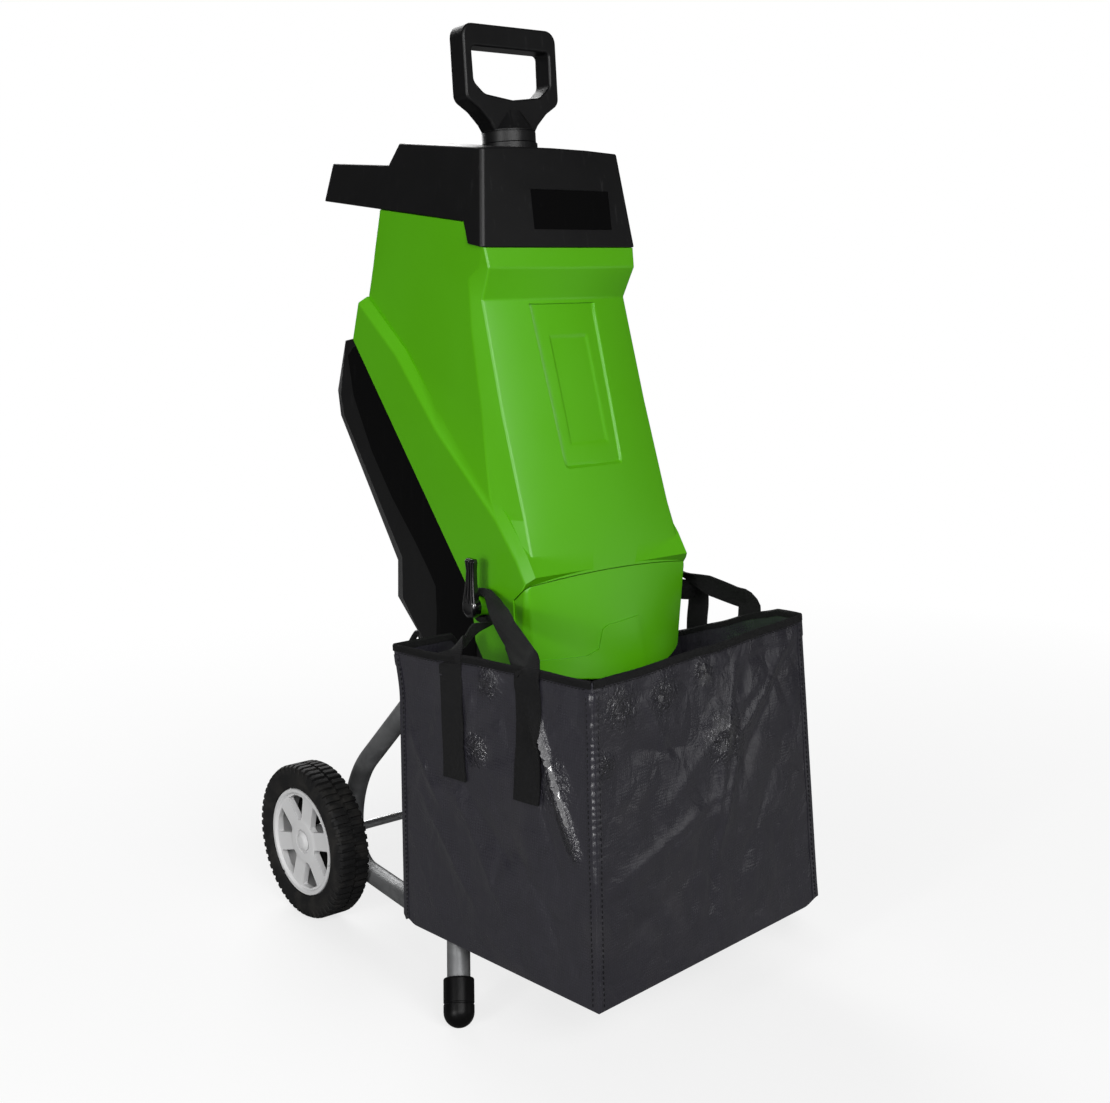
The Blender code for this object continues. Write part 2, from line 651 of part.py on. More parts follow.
rib_half = SHAFT_R - 0.0005
rib = RIB_THICK / 2
PLUS = ((rib, rib), (rib, rib_half), (-rib, rib_half), (-rib, rib), (-rib_half, rib), (-rib_half, -rib),
        (-rib, -rib), (-rib, -rib_half), (rib, -rib_half), (rib, -rib), (rib_half, -rib), (rib_half, rib))
across = SIDE.cross(PLUNGER_UP)
plus_rings = []
for drop in (0.0, SHAFT_LONG):
    base = seat + PLUNGER_UP * (GAP - 0.0004 - drop)
    plus_rings.append([base + SIDE * x + across * y for x, y in PLUS])
shaft = part("plunger_shaft", loft(plus_rings), BLACK, roughness=0.45)
foot_top = seat - PLUNGER_UP * (SHAFT_LONG - 0.001)
boolean(shaft, cutter("shaft_foot", rod(foot_top - PLUNGER_UP * 0.007, foot_top, SHAFT_R, 32)), "UNION")
head_top = seat - PLUNGER_UP * 0.0001
boolean(shaft, cutter("shaft_head", rod(head_top - PLUNGER_UP * 0.006, head_top, SHAFT_R, 32)), "UNION")

# throat: four lofted walls in one piece
outer_rings = [throat_ring(-THROAT_LIP, False, GAP + THROAT_WALL), throat_ring(-THROAT_LIP, False, GAP),
               throat_ring(0.0, False, GAP), throat_ring(0.0, True)]
inner_rings = [throat_ring(THROAT_WALL, True), throat_ring(THROAT_WALL, False, GAP + THROAT_WALL)]
throat = part("hopper_throat", loft(outer_rings + inner_rings, closed=True), BLACK, roughness=0.55)

# green tower with skirt
tower = part("upper_housing", tower_mesh(), GREEN, roughness=0.35)
bevel(tower, 0.0012, 1, 30.0)
boolean(tower, cutter("skirt", skirt_mesh()), "UNION")
boolean(tower, cutter("tower_space", tower_mesh(WALL, 0.06)))
boolean(tower, cutter("skirt_space", skirt_mesh(WALL, 0.06)))
boolean(tower, cutter("deck_side", slab(behind_seam(0.0), -0.3, 0.3)))
boolean(tower, cutter("hood_side", slab(hood_space(GAP), -0.3, 0.3)))
boolean(tower, cutter("cover_side", slab(cover_region(GAP), -0.3, 0.3)))
field_rings = []
for share in (-1.0, 0.0, 1.0):
    ring = []
    for (z, reach), deep in ((FIELD_TOP, -0.02), (FIELD_LOW, -0.02), (FIELD_LOW, FIELD_DEEP), (FIELD_TOP, FIELD_DEEP)):
        ring.append((share * reach, front_y(z, share * reach) + deep, z))
    field_rings.append(ring)
boolean(tower, cutter("front_field", loft(field_rings)))

# discharge cover
cover = part("discharge_cover", tower_mesh(), GREEN, roughness=0.35)
bevel(cover, 0.0012, 1, 30.0)
boolean(cover, cutter("cover_space", tower_mesh(WALL, 0.06)))
boolean(cover, cutter("cover_keep", slab(cover_region(0.0), -0.3, 0.3)), "INTERSECT")

# base housing
BASE_BACK = (PANEL_TOP, PANEL_LOW, (0.3708, 0.6051), (0.2515, 0.4393), (0.2529, 0.3946), (0.2181, 0.3637),
             (0.1839, 0.3345), (0.0720, 0.3420))
BASE_SIDE = ((0.3290, 0.6993), (0.3420, 0.6340), (0.3350, 0.6080), (0.2170, 0.4500), (0.2170, 0.4010),
          (0.1930, 0.3745), (0.1640, 0.3480), (0.0700, 0.3470))


def base_ring(x, outline, inset, forward):
    """Base housing section; forward opens it past the seam."""
    middle = (0.215, 0.520)
    trimmed = []
    for y, z in outline:
        pull = Vector((middle[0] - y, middle[1] - z)).normalized() * inset * 1.25
        trimmed.append((y + pull.x, z + pull.y))
    top, low, foot, end = seam_outline(GAP)
    if not forward:
        return [(x, y, z) for y, z in trimmed + [end, foot, low, top]]
    high = (top[0] - inset * UP_DECK.y, top[1] - inset * UP_DECK.z)
    tail = (end[0], end[1] + inset)
    ahead = [(y - forward * OUT_DECK.y, z - forward * OUT_DECK.z) for y, z in (low, high)]
    under = [(tail[0] - forward, tail[1]), (foot[0] - forward, foot[1])]
    return [(x, y, z) for y, z in trimmed + [tail] + under + ahead + [high]]


def base_mesh(inset=0.0, forward=0.0):
    """Base housing solid, thinner by inset."""
    wide = BASE_HALF - inset
    near = BASE_BACK_HALF - inset
    sections = ((-wide, BASE_SIDE), (-near, BASE_BACK), (near, BASE_BACK), (wide, BASE_SIDE))
    return loft([base_ring(x, outline, inset, forward) for x, outline in sections])


base = part("base_housing", base_mesh(), SHELL_BLACK, roughness=0.5)
boolean(base, cutter("base_space", base_mesh(WALL, 0.05)))


def on_shaft(depth, along=0.0, aside=0.0):
    """Point beside the cutting axis: depth behind the deck plane, along up the seam, aside in X."""
    return seam_point(DISC_RISE + along, depth) + SIDE * aside


# deck plate, bent at the foot of the seam
deck_half = BASE_HALF - WALL - GAP - 0.0006
deck_outline = []
for depth, drop in ((0.0020, 0.0075), (0.0020 + DECK_THICK, 0.0075)):
    top, low, foot, end = seam_outline(depth)
    top = (top[0] - drop * UP_DECK.y, top[1] - drop * UP_DECK.z)
    end = (end[0] + 0.25 * (foot[0] - end[0]), end[1] + 0.25 * (foot[1] - end[1]))
    deck_outline.append([top, low, foot, end])
deck = part("deck_plate", slab(deck_outline[0] + deck_outline[1][::-1], -deck_half, deck_half), STEEL, 0.9, 0.4)
boolean(deck, cutter("deck_hole", rod(on_shaft(-0.02), on_shaft(0.02), BEARING_R + 0.004, 32)))

# motor
CASE_R = STATOR_R + 0.0060
case_high = 0.0780
front_face = DECK_THICK + 0.0020 + GAP
bearing_top = front_face + 0.0010
motor_case = lathe("motor_case", (
    (BEARING_R + 0.0035, front_face + BEARING_HIGH + 0.0010), (BEARING_R + 0.0035, front_face + 0.0030),
    (CASE_R - 0.0030, front_face + 0.0030), (CASE_R - 0.0030, case_high), (CASE_R, case_high),
    (CASE_R, front_face), (BEARING_R - 0.0030, front_face), (BEARING_R - 0.0030, bearing_top - GAP),
    (BEARING_R + GAP, bearing_top - GAP), (BEARING_R + GAP, front_face + BEARING_HIGH + 0.0010),
), on_shaft(0.0), OUT_DECK, STEEL, 0.8, 0.5, 24)


def ring_profile(inner, outer, low, high):
    """Square profile of a ring, its outer side first from the top down."""
    return ((outer, high), (outer, low), (inner, low), (inner, high))


def ring_part(name, inner, outer, low, high, colour, metallic=0.8, roughness=0.45, sides=24):
    """A plain ring about the cutting axis."""
    return lathe(name, ring_profile(inner, outer, low, high), on_shaft(0.0), OUT_DECK, colour, metallic,
                 roughness, sides)


ring_part("bearing_front", SHAFT_RADIUS + GAP, BEARING_R, bearing_top, bearing_top + BEARING_HIGH - 0.001, STEEL)
stator_top = STATOR_START + 0.0080
ring_part("stator_core", ROTOR_R + RUN_GAP, CASE_R - 0.0030 - GAP, stator_top, stator_top + STATOR_HIGH - 0.008,
          COPPER, 0.6, 0.5)
shield_low = case_high + GAP
rear_bearing = (shield_low + SHIELD_THICK, shield_low + SHIELD_THICK + 0.0070)
rear_r = BEARING_R - 0.0040
lathe("end_shield", (
    (CASE_R, shield_low + SHIELD_THICK), (CASE_R, shield_low), (SHAFT_RADIUS + 0.0015, shield_low),
    (SHAFT_RADIUS + 0.0015, rear_bearing[0] - GAP), (rear_r + GAP, rear_bearing[0] - GAP),
    (rear_r + GAP, rear_bearing[1] + 0.0010), (rear_r + 0.0035, rear_bearing[1] + 0.0010),
    (rear_r + 0.0035, shield_low + SHIELD_THICK),
), on_shaft(0.0), OUT_DECK, STEEL, 0.8, 0.5, 24)
ring_part("bearing_rear", SHAFT_RADIUS - 0.0015 + GAP, rear_r, rear_bearing[0], rear_bearing[1], STEEL)

# what turns: shaft, fan, rotor, disc, knives
disc_back = -DISC_LIFT
disc_front = -(DISC_LIFT + DISC_THICK)
lathe("motor_shaft", (
    (0.0, rear_bearing[1] + 0.0005), (SHAFT_RADIUS - 0.0015, rear_bearing[1] + 0.0005),
    (SHAFT_RADIUS - 0.0015, shield_low + 0.0010), (SHAFT_RADIUS, shield_low - 0.0010),
    (SHAFT_RADIUS, disc_back + 0.0090), (0.0180, disc_back + 0.0090), (0.0180, disc_back + GAP),
    (SHAFT_RADIUS, disc_back + GAP), (SHAFT_RADIUS, disc_front - NUT_HIGH), (0.0, disc_front - NUT_HIGH),
), on_shaft(0.0), OUT_DECK, STEEL, 0.9, 0.3, 24)
fan_low = front_face + BEARING_HIGH + 0.0025
ring_part("cooling_fan", SHAFT_RADIUS + GAP, FAN_R, fan_low, fan_low + FAN_HIGH, BLACK, 0.0, 0.5)
fan = bpy.data.objects["cooling_fan"]
gaps = bmesh.new()
for index in range(9):
    turn = Matrix.Rotation(2 * pi * index / 9, 4, "Z")
    low_ring = []
    for radius, height in ((FAN_R + 0.01, fan_low + 0.0025), (0.0150, fan_low + 0.0025)):
        low_ring += [turn @ Vector((radius, 0.0035 * sign * radius / 0.02, height)) for sign in (-1, 1)]
    low = [gaps.verts.new(low_ring[k]) for k in (0, 1, 3, 2)]
    high = [gaps.verts.new(vert.co + Vector((0.0, 0.0, 0.02))) for vert in low]
    gaps.faces.new(low[::-1])
    gaps.faces.new(high)
    for k in range(4):
        gaps.faces.new((low[k], low[(k + 1) % 4], high[(k + 1) % 4], high[k]))
bmesh.ops.recalc_face_normals(gaps, faces=gaps.faces)
gap_mesh = bpy.data.meshes.new("fan_gaps")
gaps.to_mesh(gap_mesh)
gaps.free()
gap_cutter = cutter("fan_gaps", gap_mesh)
gap_cutter.matrix_world = fan.matrix_world.copy()
boolean(fan, gap_cutter)
lathe("rotor_core", (
    (ROTOR_R, stator_top + STATOR_HIGH - 0.008), (ROTOR_R, stator_top), (SHAFT_RADIUS + GAP, stator_top),
    (SHAFT_RADIUS + GAP, shield_low - 0.0040), (0.0140, shield_low - 0.0040),
    (0.0140, stator_top + STATOR_HIGH - 0.008),
), on_shaft(0.0), OUT_DECK, COPPER, 0.7, 0.45, 24)
disc = ring_part("blade_disc", SHAFT_RADIUS + GAP, DISC_R, disc_front, disc_back, STEEL, 0.9, 0.35, 36)
lathe("disc_nut", ring_profile((SHAFT_RADIUS + GAP) / cos(pi / 6), NUT_R, disc_front - NUT_HIGH + 0.001, disc_front - GAP),
      on_shaft(0.0), OUT_DECK, STEEL, 0.9, 0.35, 6)
deck_turn = turned(OUT_DECK, SIDE)
knife_top = disc_front - GAP
for index, sign in enumerate((-1.0, 1.0)):
    name = "knife_" + "ab"[index]
    centre = on_shaft(knife_top - KNIFE_SIZE[2] / 2, 0.0, sign * KNIFE_OFFSET)
    blade_rings = []
    for end in (-0.5, 0.5):
        ring = []
        for along, depth in ((-0.5, 0.5), (0.5, 0.5), (0.5, -0.5), (-0.18, -0.5)):
            ring.append(centre + SIDE * (end * KNIFE_SIZE[0]) + UP_DECK * (sign * along * KNIFE_SIZE[1])
                        + OUT_DECK * (depth * KNIFE_SIZE[2]))
        blade_rings.append(ring)
    knife = part(name, loft(blade_rings), STEEL, 0.95, 0.25)
    knife.data.transform(Matrix.Translation(-centre))
    knife.location = centre
    for number, shift in enumerate((-0.27, 0.27)):
        spot = on_shaft(0.0, sign * 0.0020, sign * KNIFE_OFFSET + shift * KNIFE_SIZE[0])
        screw_name = f"knife_screw_{2 * index + number + 1}"
        head = knife_top - KNIFE_SIZE[2] - GAP
        lathe(screw_name, ((0.0, disc_back - 0.0005), (0.0025, disc_back - 0.0005), (0.0025, head),
                           (SCREW_HEAD_R, head), (SCREW_HEAD_R, head - SCREW_HEAD_HIGH + 0.001),
                           (0.0030, head - SCREW_HEAD_HIGH), (0.0, head - SCREW_HEAD_HIGH)),
              spot, OUT_DECK, STEEL, 0.9, 0.3, 12)
        hole = rod(spot + OUT_DECK * (disc_back + 0.01), spot + OUT_DECK * (head - 0.01), 0.0025 + GAP, 12)
        tool = cutter(screw_name + "_hole", hole)
        boolean(knife, tool)
        boolean(disc, tool)
for sign in (-1.0, 1.0):
    slot_centre = on_shaft((disc_front + disc_back) / 2, sign * (KNIFE_SIZE[1] * 0.5 + 0.005), -sign * -KNIFE_OFFSET)
    slot = block((KNIFE_SIZE[0] * 0.8, 0.0060, 0.0300), slot_centre, deck_turn)
    boolean(disc, cutter("disc_slot", slot))

across_low, along_low = THROAT_LOW_HALF
blade_at = on_shaft(-(DISC_LIFT + DISC_THICK + KNIFE_SIZE[2] + 0.0060 + 0.0045),
                    THROAT_LOW_RISE - along_low - 0.0040)
part("counter_blade", block((2 * across_low, 0.0050, 0.0090), blade_at, deck_turn), STEEL, 0.95, 0.3)

# safety switch on the deck
switch_at = seam_point(0.3180, -0.0040) + SIDE * 0.0600
safety = part("safety_switch", block((0.0200, 0.0120, 0.0110), switch_at, deck_turn), BLACK, 0.0, 0.4)
pin_mesh = rod(switch_at, switch_at - OUT_DECK * 0.0095, 0.0022, 12)
boolean(safety, cutter("switch_pin", pin_mesh), "UNION")

# hinge
hinge = Vector((0.0, *HINGE_AT))
for first, owner, reach in ((0.0310, tower, Vector((0.0, -0.0130, 0.0))), (0.0310 + KNUCKLE_LONG + GAP, base,
                                                                    Vector((0.0, 0.0, -0.0135)))):
    for sign in (-1.0, 1.0):
        ends = sorted((sign * first, sign * (first + KNUCKLE_LONG)))
        knuckle = rod(hinge + SIDE * ends[0], hinge + SIDE * ends[1], KNUCKLE_R, 20)
        boolean(owner, cutter("knuckle", knuckle), "UNION")
        web_size = (KNUCKLE_LONG, max(0.0095, abs(reach.y)), max(0.0095, abs(reach.z)))
        web = block(web_size, hinge + SIDE * sum(ends) / 2 + reach / 2)
        boolean(owner, cutter("knuckle_web", web), "UNION")
pin_end = 0.0310 + 2 * KNUCKLE_LONG + 0.0020
pin_bore = cutter("hinge_bore", rod(hinge - SIDE * 0.12, hinge + SIDE * 0.12, HINGE_PIN_R + GAP, 20))
boolean(tower, pin_bore)
boolean(base, pin_bore)
part("hinge_pin", rod(hinge - SIDE * pin_end, hinge + SIDE * pin_end, HINGE_PIN_R, 20), STEEL, 0.9, 0.35)

# levers, hubs, housing screws
pivot = Vector((0.0, *LEVER_AT))
lever_outline = []
for angle in range(0, 181, 30):
    lever_outline.append((LEVER_TIP_HALF * cos(radians(angle)),
                          LEVER_REACH - LEVER_TIP_HALF + LEVER_TIP_HALF * sin(radians(angle))))
lever_outline += [(-LEVER_NECK_HALF - 0.0005, 0.0330), (-LEVER_NECK_HALF - 0.0015, 0.0220)]
for angle in range(150, 391, 30):
    lever_outline.append((LEVER_BOSS_R * cos(radians(angle)), LEVER_BOSS_R * sin(radians(angle))))
lever_outline += [(LEVER_NECK_HALF + 0.0015, 0.0220), (LEVER_NECK_HALF + 0.0005, 0.0330)]
hub_start = SKIRT_HALF + GAP
hub_end = hub_start + HUB_LONG
for word, sign in (("left", -1.0), ("right", 1.0)):
    at = pivot + SIDE * sign * (hub_end + GAP)
    rings = []
    for depth, pinch in ((0.0, 0.0), (LEVER_THICK * 0.7, 0.0), (LEVER_THICK, 0.0022)):
        scale = 1.0 - pinch / LEVER_BOSS_R
        rings.append([(sign * depth, y * scale, z - (z - 0.02) * pinch / 0.035) for y, z in lever_outline])
    lever = part("locking_lever_" + word, loft(rings), GLOSS_BLACK, 0.0, 0.15)
    lever.location = at
    pin = cutter("lever_pin_" + word, rod((sign * 0.001, 0, 0), (-sign * (HUB_LONG - 0.002), 0, 0), HUB_PIN_R, 16))
    pin.location = at
    boolean(lever, pin, "UNION")
    hub = part("lever_hub_" + word, rod(pivot + SIDE * sign * hub_start, pivot + SIDE * sign * hub_end, HUB_R, 28),
               GREEN, 0.0, 0.35)
    bore = rod(pivot + SIDE * sign * (hub_start + 0.0010), pivot + SIDE * sign * (hub_end + 0.01),
               HUB_PIN_R + GAP, 16)
    boolean(hub, cutter("hub_bore_" + word, bore))
    spot = Vector((0.0, *SCREW_AT))
    hole = rod(spot + SIDE * sign * (SKIRT_HALF - 0.012), spot + SIDE * sign * (SKIRT_HALF + 0.01),
               SCREW_R + GAP, 16)
    boolean(tower, cutter("screw_hole_" + word, hole))
    lathe("housing_screw_" + word, ((0.0, 0.0), (SCREW_R, -0.0002), (SCREW_R, -0.0024), (0.0018, -0.0026),
                                    (0.0018, -0.0100), (0.0, -0.0100)),
          spot + SIDE * sign * (SKIRT_HALF - 0.0006), SIDE * sign, STEEL, 0.9, 0.35, 16)

# frame
for word, sign in (("left", -1.0), ("right", 1.0)):
    foot = mirrored(LEG_FOOT, sign)
    top = mirrored(LEG_TOP, sign)
    run = (top - foot).normalized()
    dome = foot - run * ((foot.z - CAP_R + 0.0020) / run.z)
    leg = part("front_leg_" + word, rod(dome + run * 0.0020, top, TUBE_R, 20), TUBE_GREY, 0.3, 0.45)
    boolean(leg, cutter("leg_bore_" + word, rod(dome - run * 0.01, top + run * 0.01, TUBE_R - TUBE_WALL, 20)))
    profile = [(0.0, -CAP_R)]
    for step in range(1, 6):
        profile.append((CAP_R * sin(radians(18 * step)), -CAP_R * cos(radians(18 * step))))
    profile += [(CAP_R, CAP_LONG - CAP_R - 0.0020), (CAP_R - 0.0020, CAP_LONG - CAP_R),
                (TUBE_R + GAP, CAP_LONG - CAP_R), (TUBE_R + GAP, 0.0020 - GAP), (0.0, 0.0020 - GAP)]
    cap = lathe("foot_cap_" + word, profile[::-1], dome, run, RUBBER, 0.0, 0.8, 20)
    floor = block((0.08, 0.08, 0.02), (dome.x, dome.y, -0.0100))
    boolean(cap, cutter("floor_" + word, floor))

    strut_top = mirrored(STRUT_TOP, sign)
    curve = filleted([strut_top, mirrored(BEND_AT, sign), mirrored(BRACE_END, sign)], BEND_R, 9)
    rear = part("rear_tube_" + word, swept(curve, TUBE_R), TUBE_GREY, 0.3, 0.45)
    first = (curve[0] - curve[1]).normalized() * 0.01
    last = (curve[-1] - curve[-2]).normalized() * 0.01
    inner = [curve[0] + first] + curve[1:-1] + [curve[-1] + last]
    boolean(rear, cutter("rear_bore_" + word, swept(inner, TUBE_R - TUBE_WALL)))
    axle_line = rod((sign * 0.105, *WHEEL_AT), (sign * 0.190, *WHEEL_AT), AXLE_R + GAP, 16)
    boolean(rear, cutter("axle_hole_" + word, axle_line))

    low = min(top.z, strut_top.z) - SOCKET_HIGH
    leg_top_y = top.y
    tail, under = BASE_BACK[-2:]
    start = leg_top_y - SOCKET_HALF
    share = (start - under[0]) / (tail[0] - under[0])
    face = [(start, under[1] + share * (tail[1] - under[1]) - GAP), (tail[0], tail[1] - GAP)]
    outline = (*face, (strut_top.y + SOCKET_HALF, tail[1] - GAP), (strut_top.y + SOCKET_HALF, low), (start, low))
    ends = sorted((sign * 0.0900, sign * 0.1360))
    socket = part("tube_socket_" + word, slab(outline, *ends), BLACK, 0.0, 0.5)
    for end, way in ((top, run), (strut_top, first.normalized())):
        tool = cutter("socket_hole_" + word, rod(end + way * GAP, end - way * 0.08, TUBE_R + GAP, 20))
        boolean(socket, tool)
    corners = [Vector((sign * LUG_X, *corner)) for corner in LUG_CORNERS]
    middle = (corners[2] + corners[0]) / 2
    loop = filleted([middle] + corners + [middle], 0.0060, 4)[:-1]
    sections = []
    for index, point in enumerate(loop):
        along = (loop[(index + 1) % len(loop)] - loop[index - 1]).normalized()
        aside = SIDE.cross(along)
        sections.append([point + (SIDE * cos(turn) + aside * sin(turn)) * LUG_THICK / 2
                         for turn in (2 * pi * step / 8 for step in range(8))])
    part("frame_lug_" + word, loft(sections, closed=True), BLACK, 0.0, 0.5)

# axle and wheels
hub_dish = 0.0085
axle_half = WHEEL_FACE - hub_dish + 0.0030
part("axle", rod((-axle_half, *WHEEL_AT), (axle_half, *WHEEL_AT), AXLE_R, 20), STEEL, 0.9, 0.4)


def tyre_mesh(sign):
    """Tyre with cross lugs, about the X axis through the origin."""
    half = WHEEL_WIDE / 2
    rings = []
    for index in range(4 * LUGS):
        share = (index // 4 + (0.0, 0.52, 0.60, 0.92)[index % 4]) / LUGS
        outer = WHEEL_R if index % 4 < 2 else WHEEL_R - TREAD_DEEP
        shoulder = outer - 0.0070
        section = [(-half, shoulder), (-half + 0.0060, outer), (half - 0.0060, outer), (half, shoulder),
                   (half, RIM_R + 0.0060), (half - 0.0040, RIM_R + GAP), (-half + 0.0040, RIM_R + GAP),
                   (-half, RIM_R + 0.0060)]
        turn = 2 * pi * share
        rings.append([(x, radius * sin(turn), radius * cos(turn)) for x, radius in section])
    return loft(rings, closed=True)


for word, sign in (("left", -1.0), ("right", 1.0)):
    centre = Vector((sign * (WHEEL_FACE - WHEEL_WIDE / 2), *WHEEL_AT))
    tyre = part("tyre_" + word, tyre_mesh(sign), RUBBER, 0.0, 0.8)
    tyre.location = centre
    half = WHEEL_WIDE / 2
    bore = AXLE_R + GAP
    hub = lathe("wheel_hub_" + word, (
        (RIM_R, half - 0.0045), (RIM_R, -half + 0.0060), (RIM_R - 0.0030, -half + 0.0060),
        (RIM_R - 0.0040, half - 0.0115), (HUB_CORE_R + 0.0020, half - 0.0140), (HUB_CORE_R, -half + 0.0040),
        (bore, -half + 0.0040), (bore, half - hub_dish), (HUB_CORE_R, half - hub_dish),
        (0.0260, half - 0.0100), (RIM_R - 0.0080, half - 0.0075), (RIM_R - 0.0050, half - 0.0045),
    ), centre, SIDE * sign, HUB_GREY, 0.0, 0.4, 36)
    windows = bmesh.new()
    for index in range(SPOKES):
        turn = Matrix.Rotation(2 * pi * index / SPOKES, 4, "Z")
        shape = ((0.0270, -0.0020), (0.0550, -0.0130), (0.0570, 0.0), (0.0550, 0.0130), (0.0270, 0.0020))
        low = [windows.verts.new(turn @ Vector((x, y, -half))) for x, y in shape]
        high = [windows.verts.new(turn @ Vector((x, y, half))) for x, y in shape]
        windows.faces.new(low[::-1])
        windows.faces.new(high)
        for k in range(5):
            windows.faces.new((low[k], low[(k + 1) % 5], high[(k + 1) % 5], high[k]))
    bmesh.ops.recalc_face_normals(windows, faces=windows.faces)
    window_mesh = bpy.data.meshes.new("wheel_windows")
    windows.to_mesh(window_mesh)
    windows.free()
    window = cutter("wheel_windows_" + word, window_mesh)
    window.matrix_world = hub.matrix_world.copy()
    boolean(hub, window)
    seat_high = half - hub_dish + GAP
    end_high = axle_half - centre.x * sign + GAP
    lathe("axle_cap_" + word, (
        (0.0, end_high + 0.0026), (0.0070, end_high + 0.0020), (CAP_DISC_R, seat_high + 0.0020),
        (CAP_DISC_R, seat_high), (AXLE_R + GAP, seat_high), (AXLE_R + GAP, end_high), (0.0, end_high),
    ), centre, SIDE * sign, BLACK, 0.0, 0.3, 18)

# bag
def bag_quad(corners, height, inset):
    """Bag outline at a height, drawn in by inset."""
    (flx, fly), (frx, fry), (brx, bry), (blx, bly) = corners
    return [(flx + inset, fly + inset, height), (frx - inset, fry + inset, height),
            (brx - inset, bry - inset, height), (blx + inset, bly - inset, height)]


def leg_at(height):
    """Left leg's axis at a height."""
    foot = mirrored(LEG_FOOT, -1.0)
    top = mirrored(LEG_TOP, -1.0)
    return foot + (top - foot) * ((height - foot.z) / (top.z - foot.z))


def leg_slot(grow):
    """Space in the bag's rear left part that the leg and brace stand in."""
    rings = []
    for height in (0.0500, 0.2600):
        axis = leg_at(height)
        left = axis.x - 1.10 * TUBE_R - 0.0022 - grow
        right = axis.x + 1.10 * TUBE_R + BAG_SLOT_SIDE + grow
        near = axis.y - 1.20 * TUBE_R - 0.0030 - grow
        rings.append([(left, near, height), (right, near, height), (right, 0.20, height), (left, 0.20, height)])
    return loft(rings)


bag = part("collection_bag", loft([bag_quad(BAG_LOW, BAG_LOW_Z, 0.0), bag_quad(BAG_TOP, BAG_TOP_Z, 0.0)]),
           CLOTH, 0.0, 0.45)
over = 0.05
rise = (BAG_TOP_Z + over - BAG_LOW_Z) / (BAG_TOP_Z - BAG_LOW_Z)
beyond = [tuple(a + (b - a) * rise for a, b in zip(low, high)) for low, high in zip(BAG_LOW, BAG_TOP)]
inside = cutter("bag_space", loft([bag_quad(BAG_LOW, BAG_LOW_Z + BAG_WALL, BAG_WALL),
                                   bag_quad(beyond, BAG_TOP_Z + over, BAG_WALL)]))
boolean(inside, cutter("bag_slot_lining", leg_slot(BAG_WALL)))
boolean(bag, inside)
boolean(bag, cutter("bag_slot", leg_slot(0.0)))
dip = block((BAG_DIP[1] - BAG_DIP[0], 0.1000, 0.2000),
            (0.5 * (BAG_DIP[0] + BAG_DIP[1]), 0.0700, BAG_DIP_Z + 0.1000))
boolean(bag, cutter("bag_back_dip", dip))
side_dip = slab(((-0.1000, BAG_TOP_Z + 0.0020), (0.1000, BAG_DIP_Z), (0.1000, 0.50), (-0.1000, 0.50)), 0.12, 0.20)
boolean(bag, cutter("bag_side_dip", side_dip))

# straps
def bag_face_x(side, y, height):
    """Outer X of the bag's left or right face."""
    share = (height - BAG_LOW_Z) / (BAG_TOP_Z - BAG_LOW_Z)
    front, back = (0, 3) if side < 0 else (1, 2)
    a = Vector(BAG_LOW[front]).lerp(Vector(BAG_TOP[front]), share)
    b = Vector(BAG_LOW[back]).lerp(Vector(BAG_TOP[back]), share)
    return a.x + (b.x - a.x) * (y - a.y) / (b.y - a.y)


def strap_mesh(side, leg_y):
    """Webbing loop from the bag's face over the rim, round the back of the hub and down the face again."""
    hub_x = side * (hub_start + HUB_LONG / 2)
    radius = HUB_R + GAP + STRAP_THIN / 2
    away = STRAP_THIN / 2 + GAP
    inward = Vector((-side, 0.0, 0.0))
    raised = Vector((0.0, 0.0, 1.0))
    rows = []
    for index, y in enumerate(leg_y):
        turn = 1.0 if index == 0 else -1.0
        hem = bag_face_x(side, y, BAG_TOP_Z)
        leg = []
        for drop in (STRAP_DROP, 0.5 * STRAP_DROP, 0.0080):
            height = BAG_TOP_Z - drop
            face = bag_face_x(side, y, height)
            lean_y = (bag_face_x(side, y + 0.01, height) - face) / 0.01
            lean_z = (bag_face_x(side, y, height + 0.01) - face) / 0.01
            outward = Vector((side, -side * lean_y, -side * lean_z)).normalized()
            stand = away + 0.0004 + (0.0016 if drop < 0.01 else 0.0)
            leg.append((Vector((face, y, height)) + outward * stand, outward * turn, STRAP_WIDE))
        over = Vector((hem, y, BAG_TOP_Z + 0.0055)) - inward * (away + 0.0020)
        leg.append((over, (raised - inward) * turn, STRAP_WIDE))
        knee = Vector((hem, y + 0.0080, BAG_TOP_Z + 0.0080 + 0.0020 * index)) + inward * 0.0090
        leg.append((knee, raised * turn, 0.95 * STRAP_WIDE))
        leave = pivot + Vector((hub_x, -0.0200, -turn * radius))
        for share, width in ((0.45, 0.75 * STRAP_WIDE), (0.80, 1.15 * STRAP_BUNCH), (1.0, STRAP_BUNCH)):
            leg.append((knee.lerp(leave, share), raised * turn, width))
        rows.append(leg)
    arc = []
    for step in range(9):
        angle = -pi / 2 + pi * step / 8
        ray = Vector((0.0, cos(angle), sin(angle)))
        arc.append((pivot + Vector((hub_x, 0.0, 0.0)) + ray * radius, -ray, STRAP_BUNCH))
    path = rows[0] + arc + rows[1][::-1]
    rings = []
    for index, (point, normal, width) in enumerate(path):
        along = path[min(index + 1, len(path) - 1)][0] - path[max(index - 1, 0)][0]
        wide = normal.cross(along).normalized()
        flat = along.cross(wide).normalized()
        rings.append([point + wide * (a * width / 2) + flat * (b * STRAP_THIN / 2)
                      for a, b in ((-1, -1), (1, -1), (1, 1), (-1, 1))])
    return loft(rings)


part("strap_left", strap_mesh(-1.0, STRAP_LEFT_Y), WEBBING, 0.0, 0.8)
part("strap_right", strap_mesh(1.0, STRAP_RIGHT_Y), WEBBING, 0.0, 0.8)

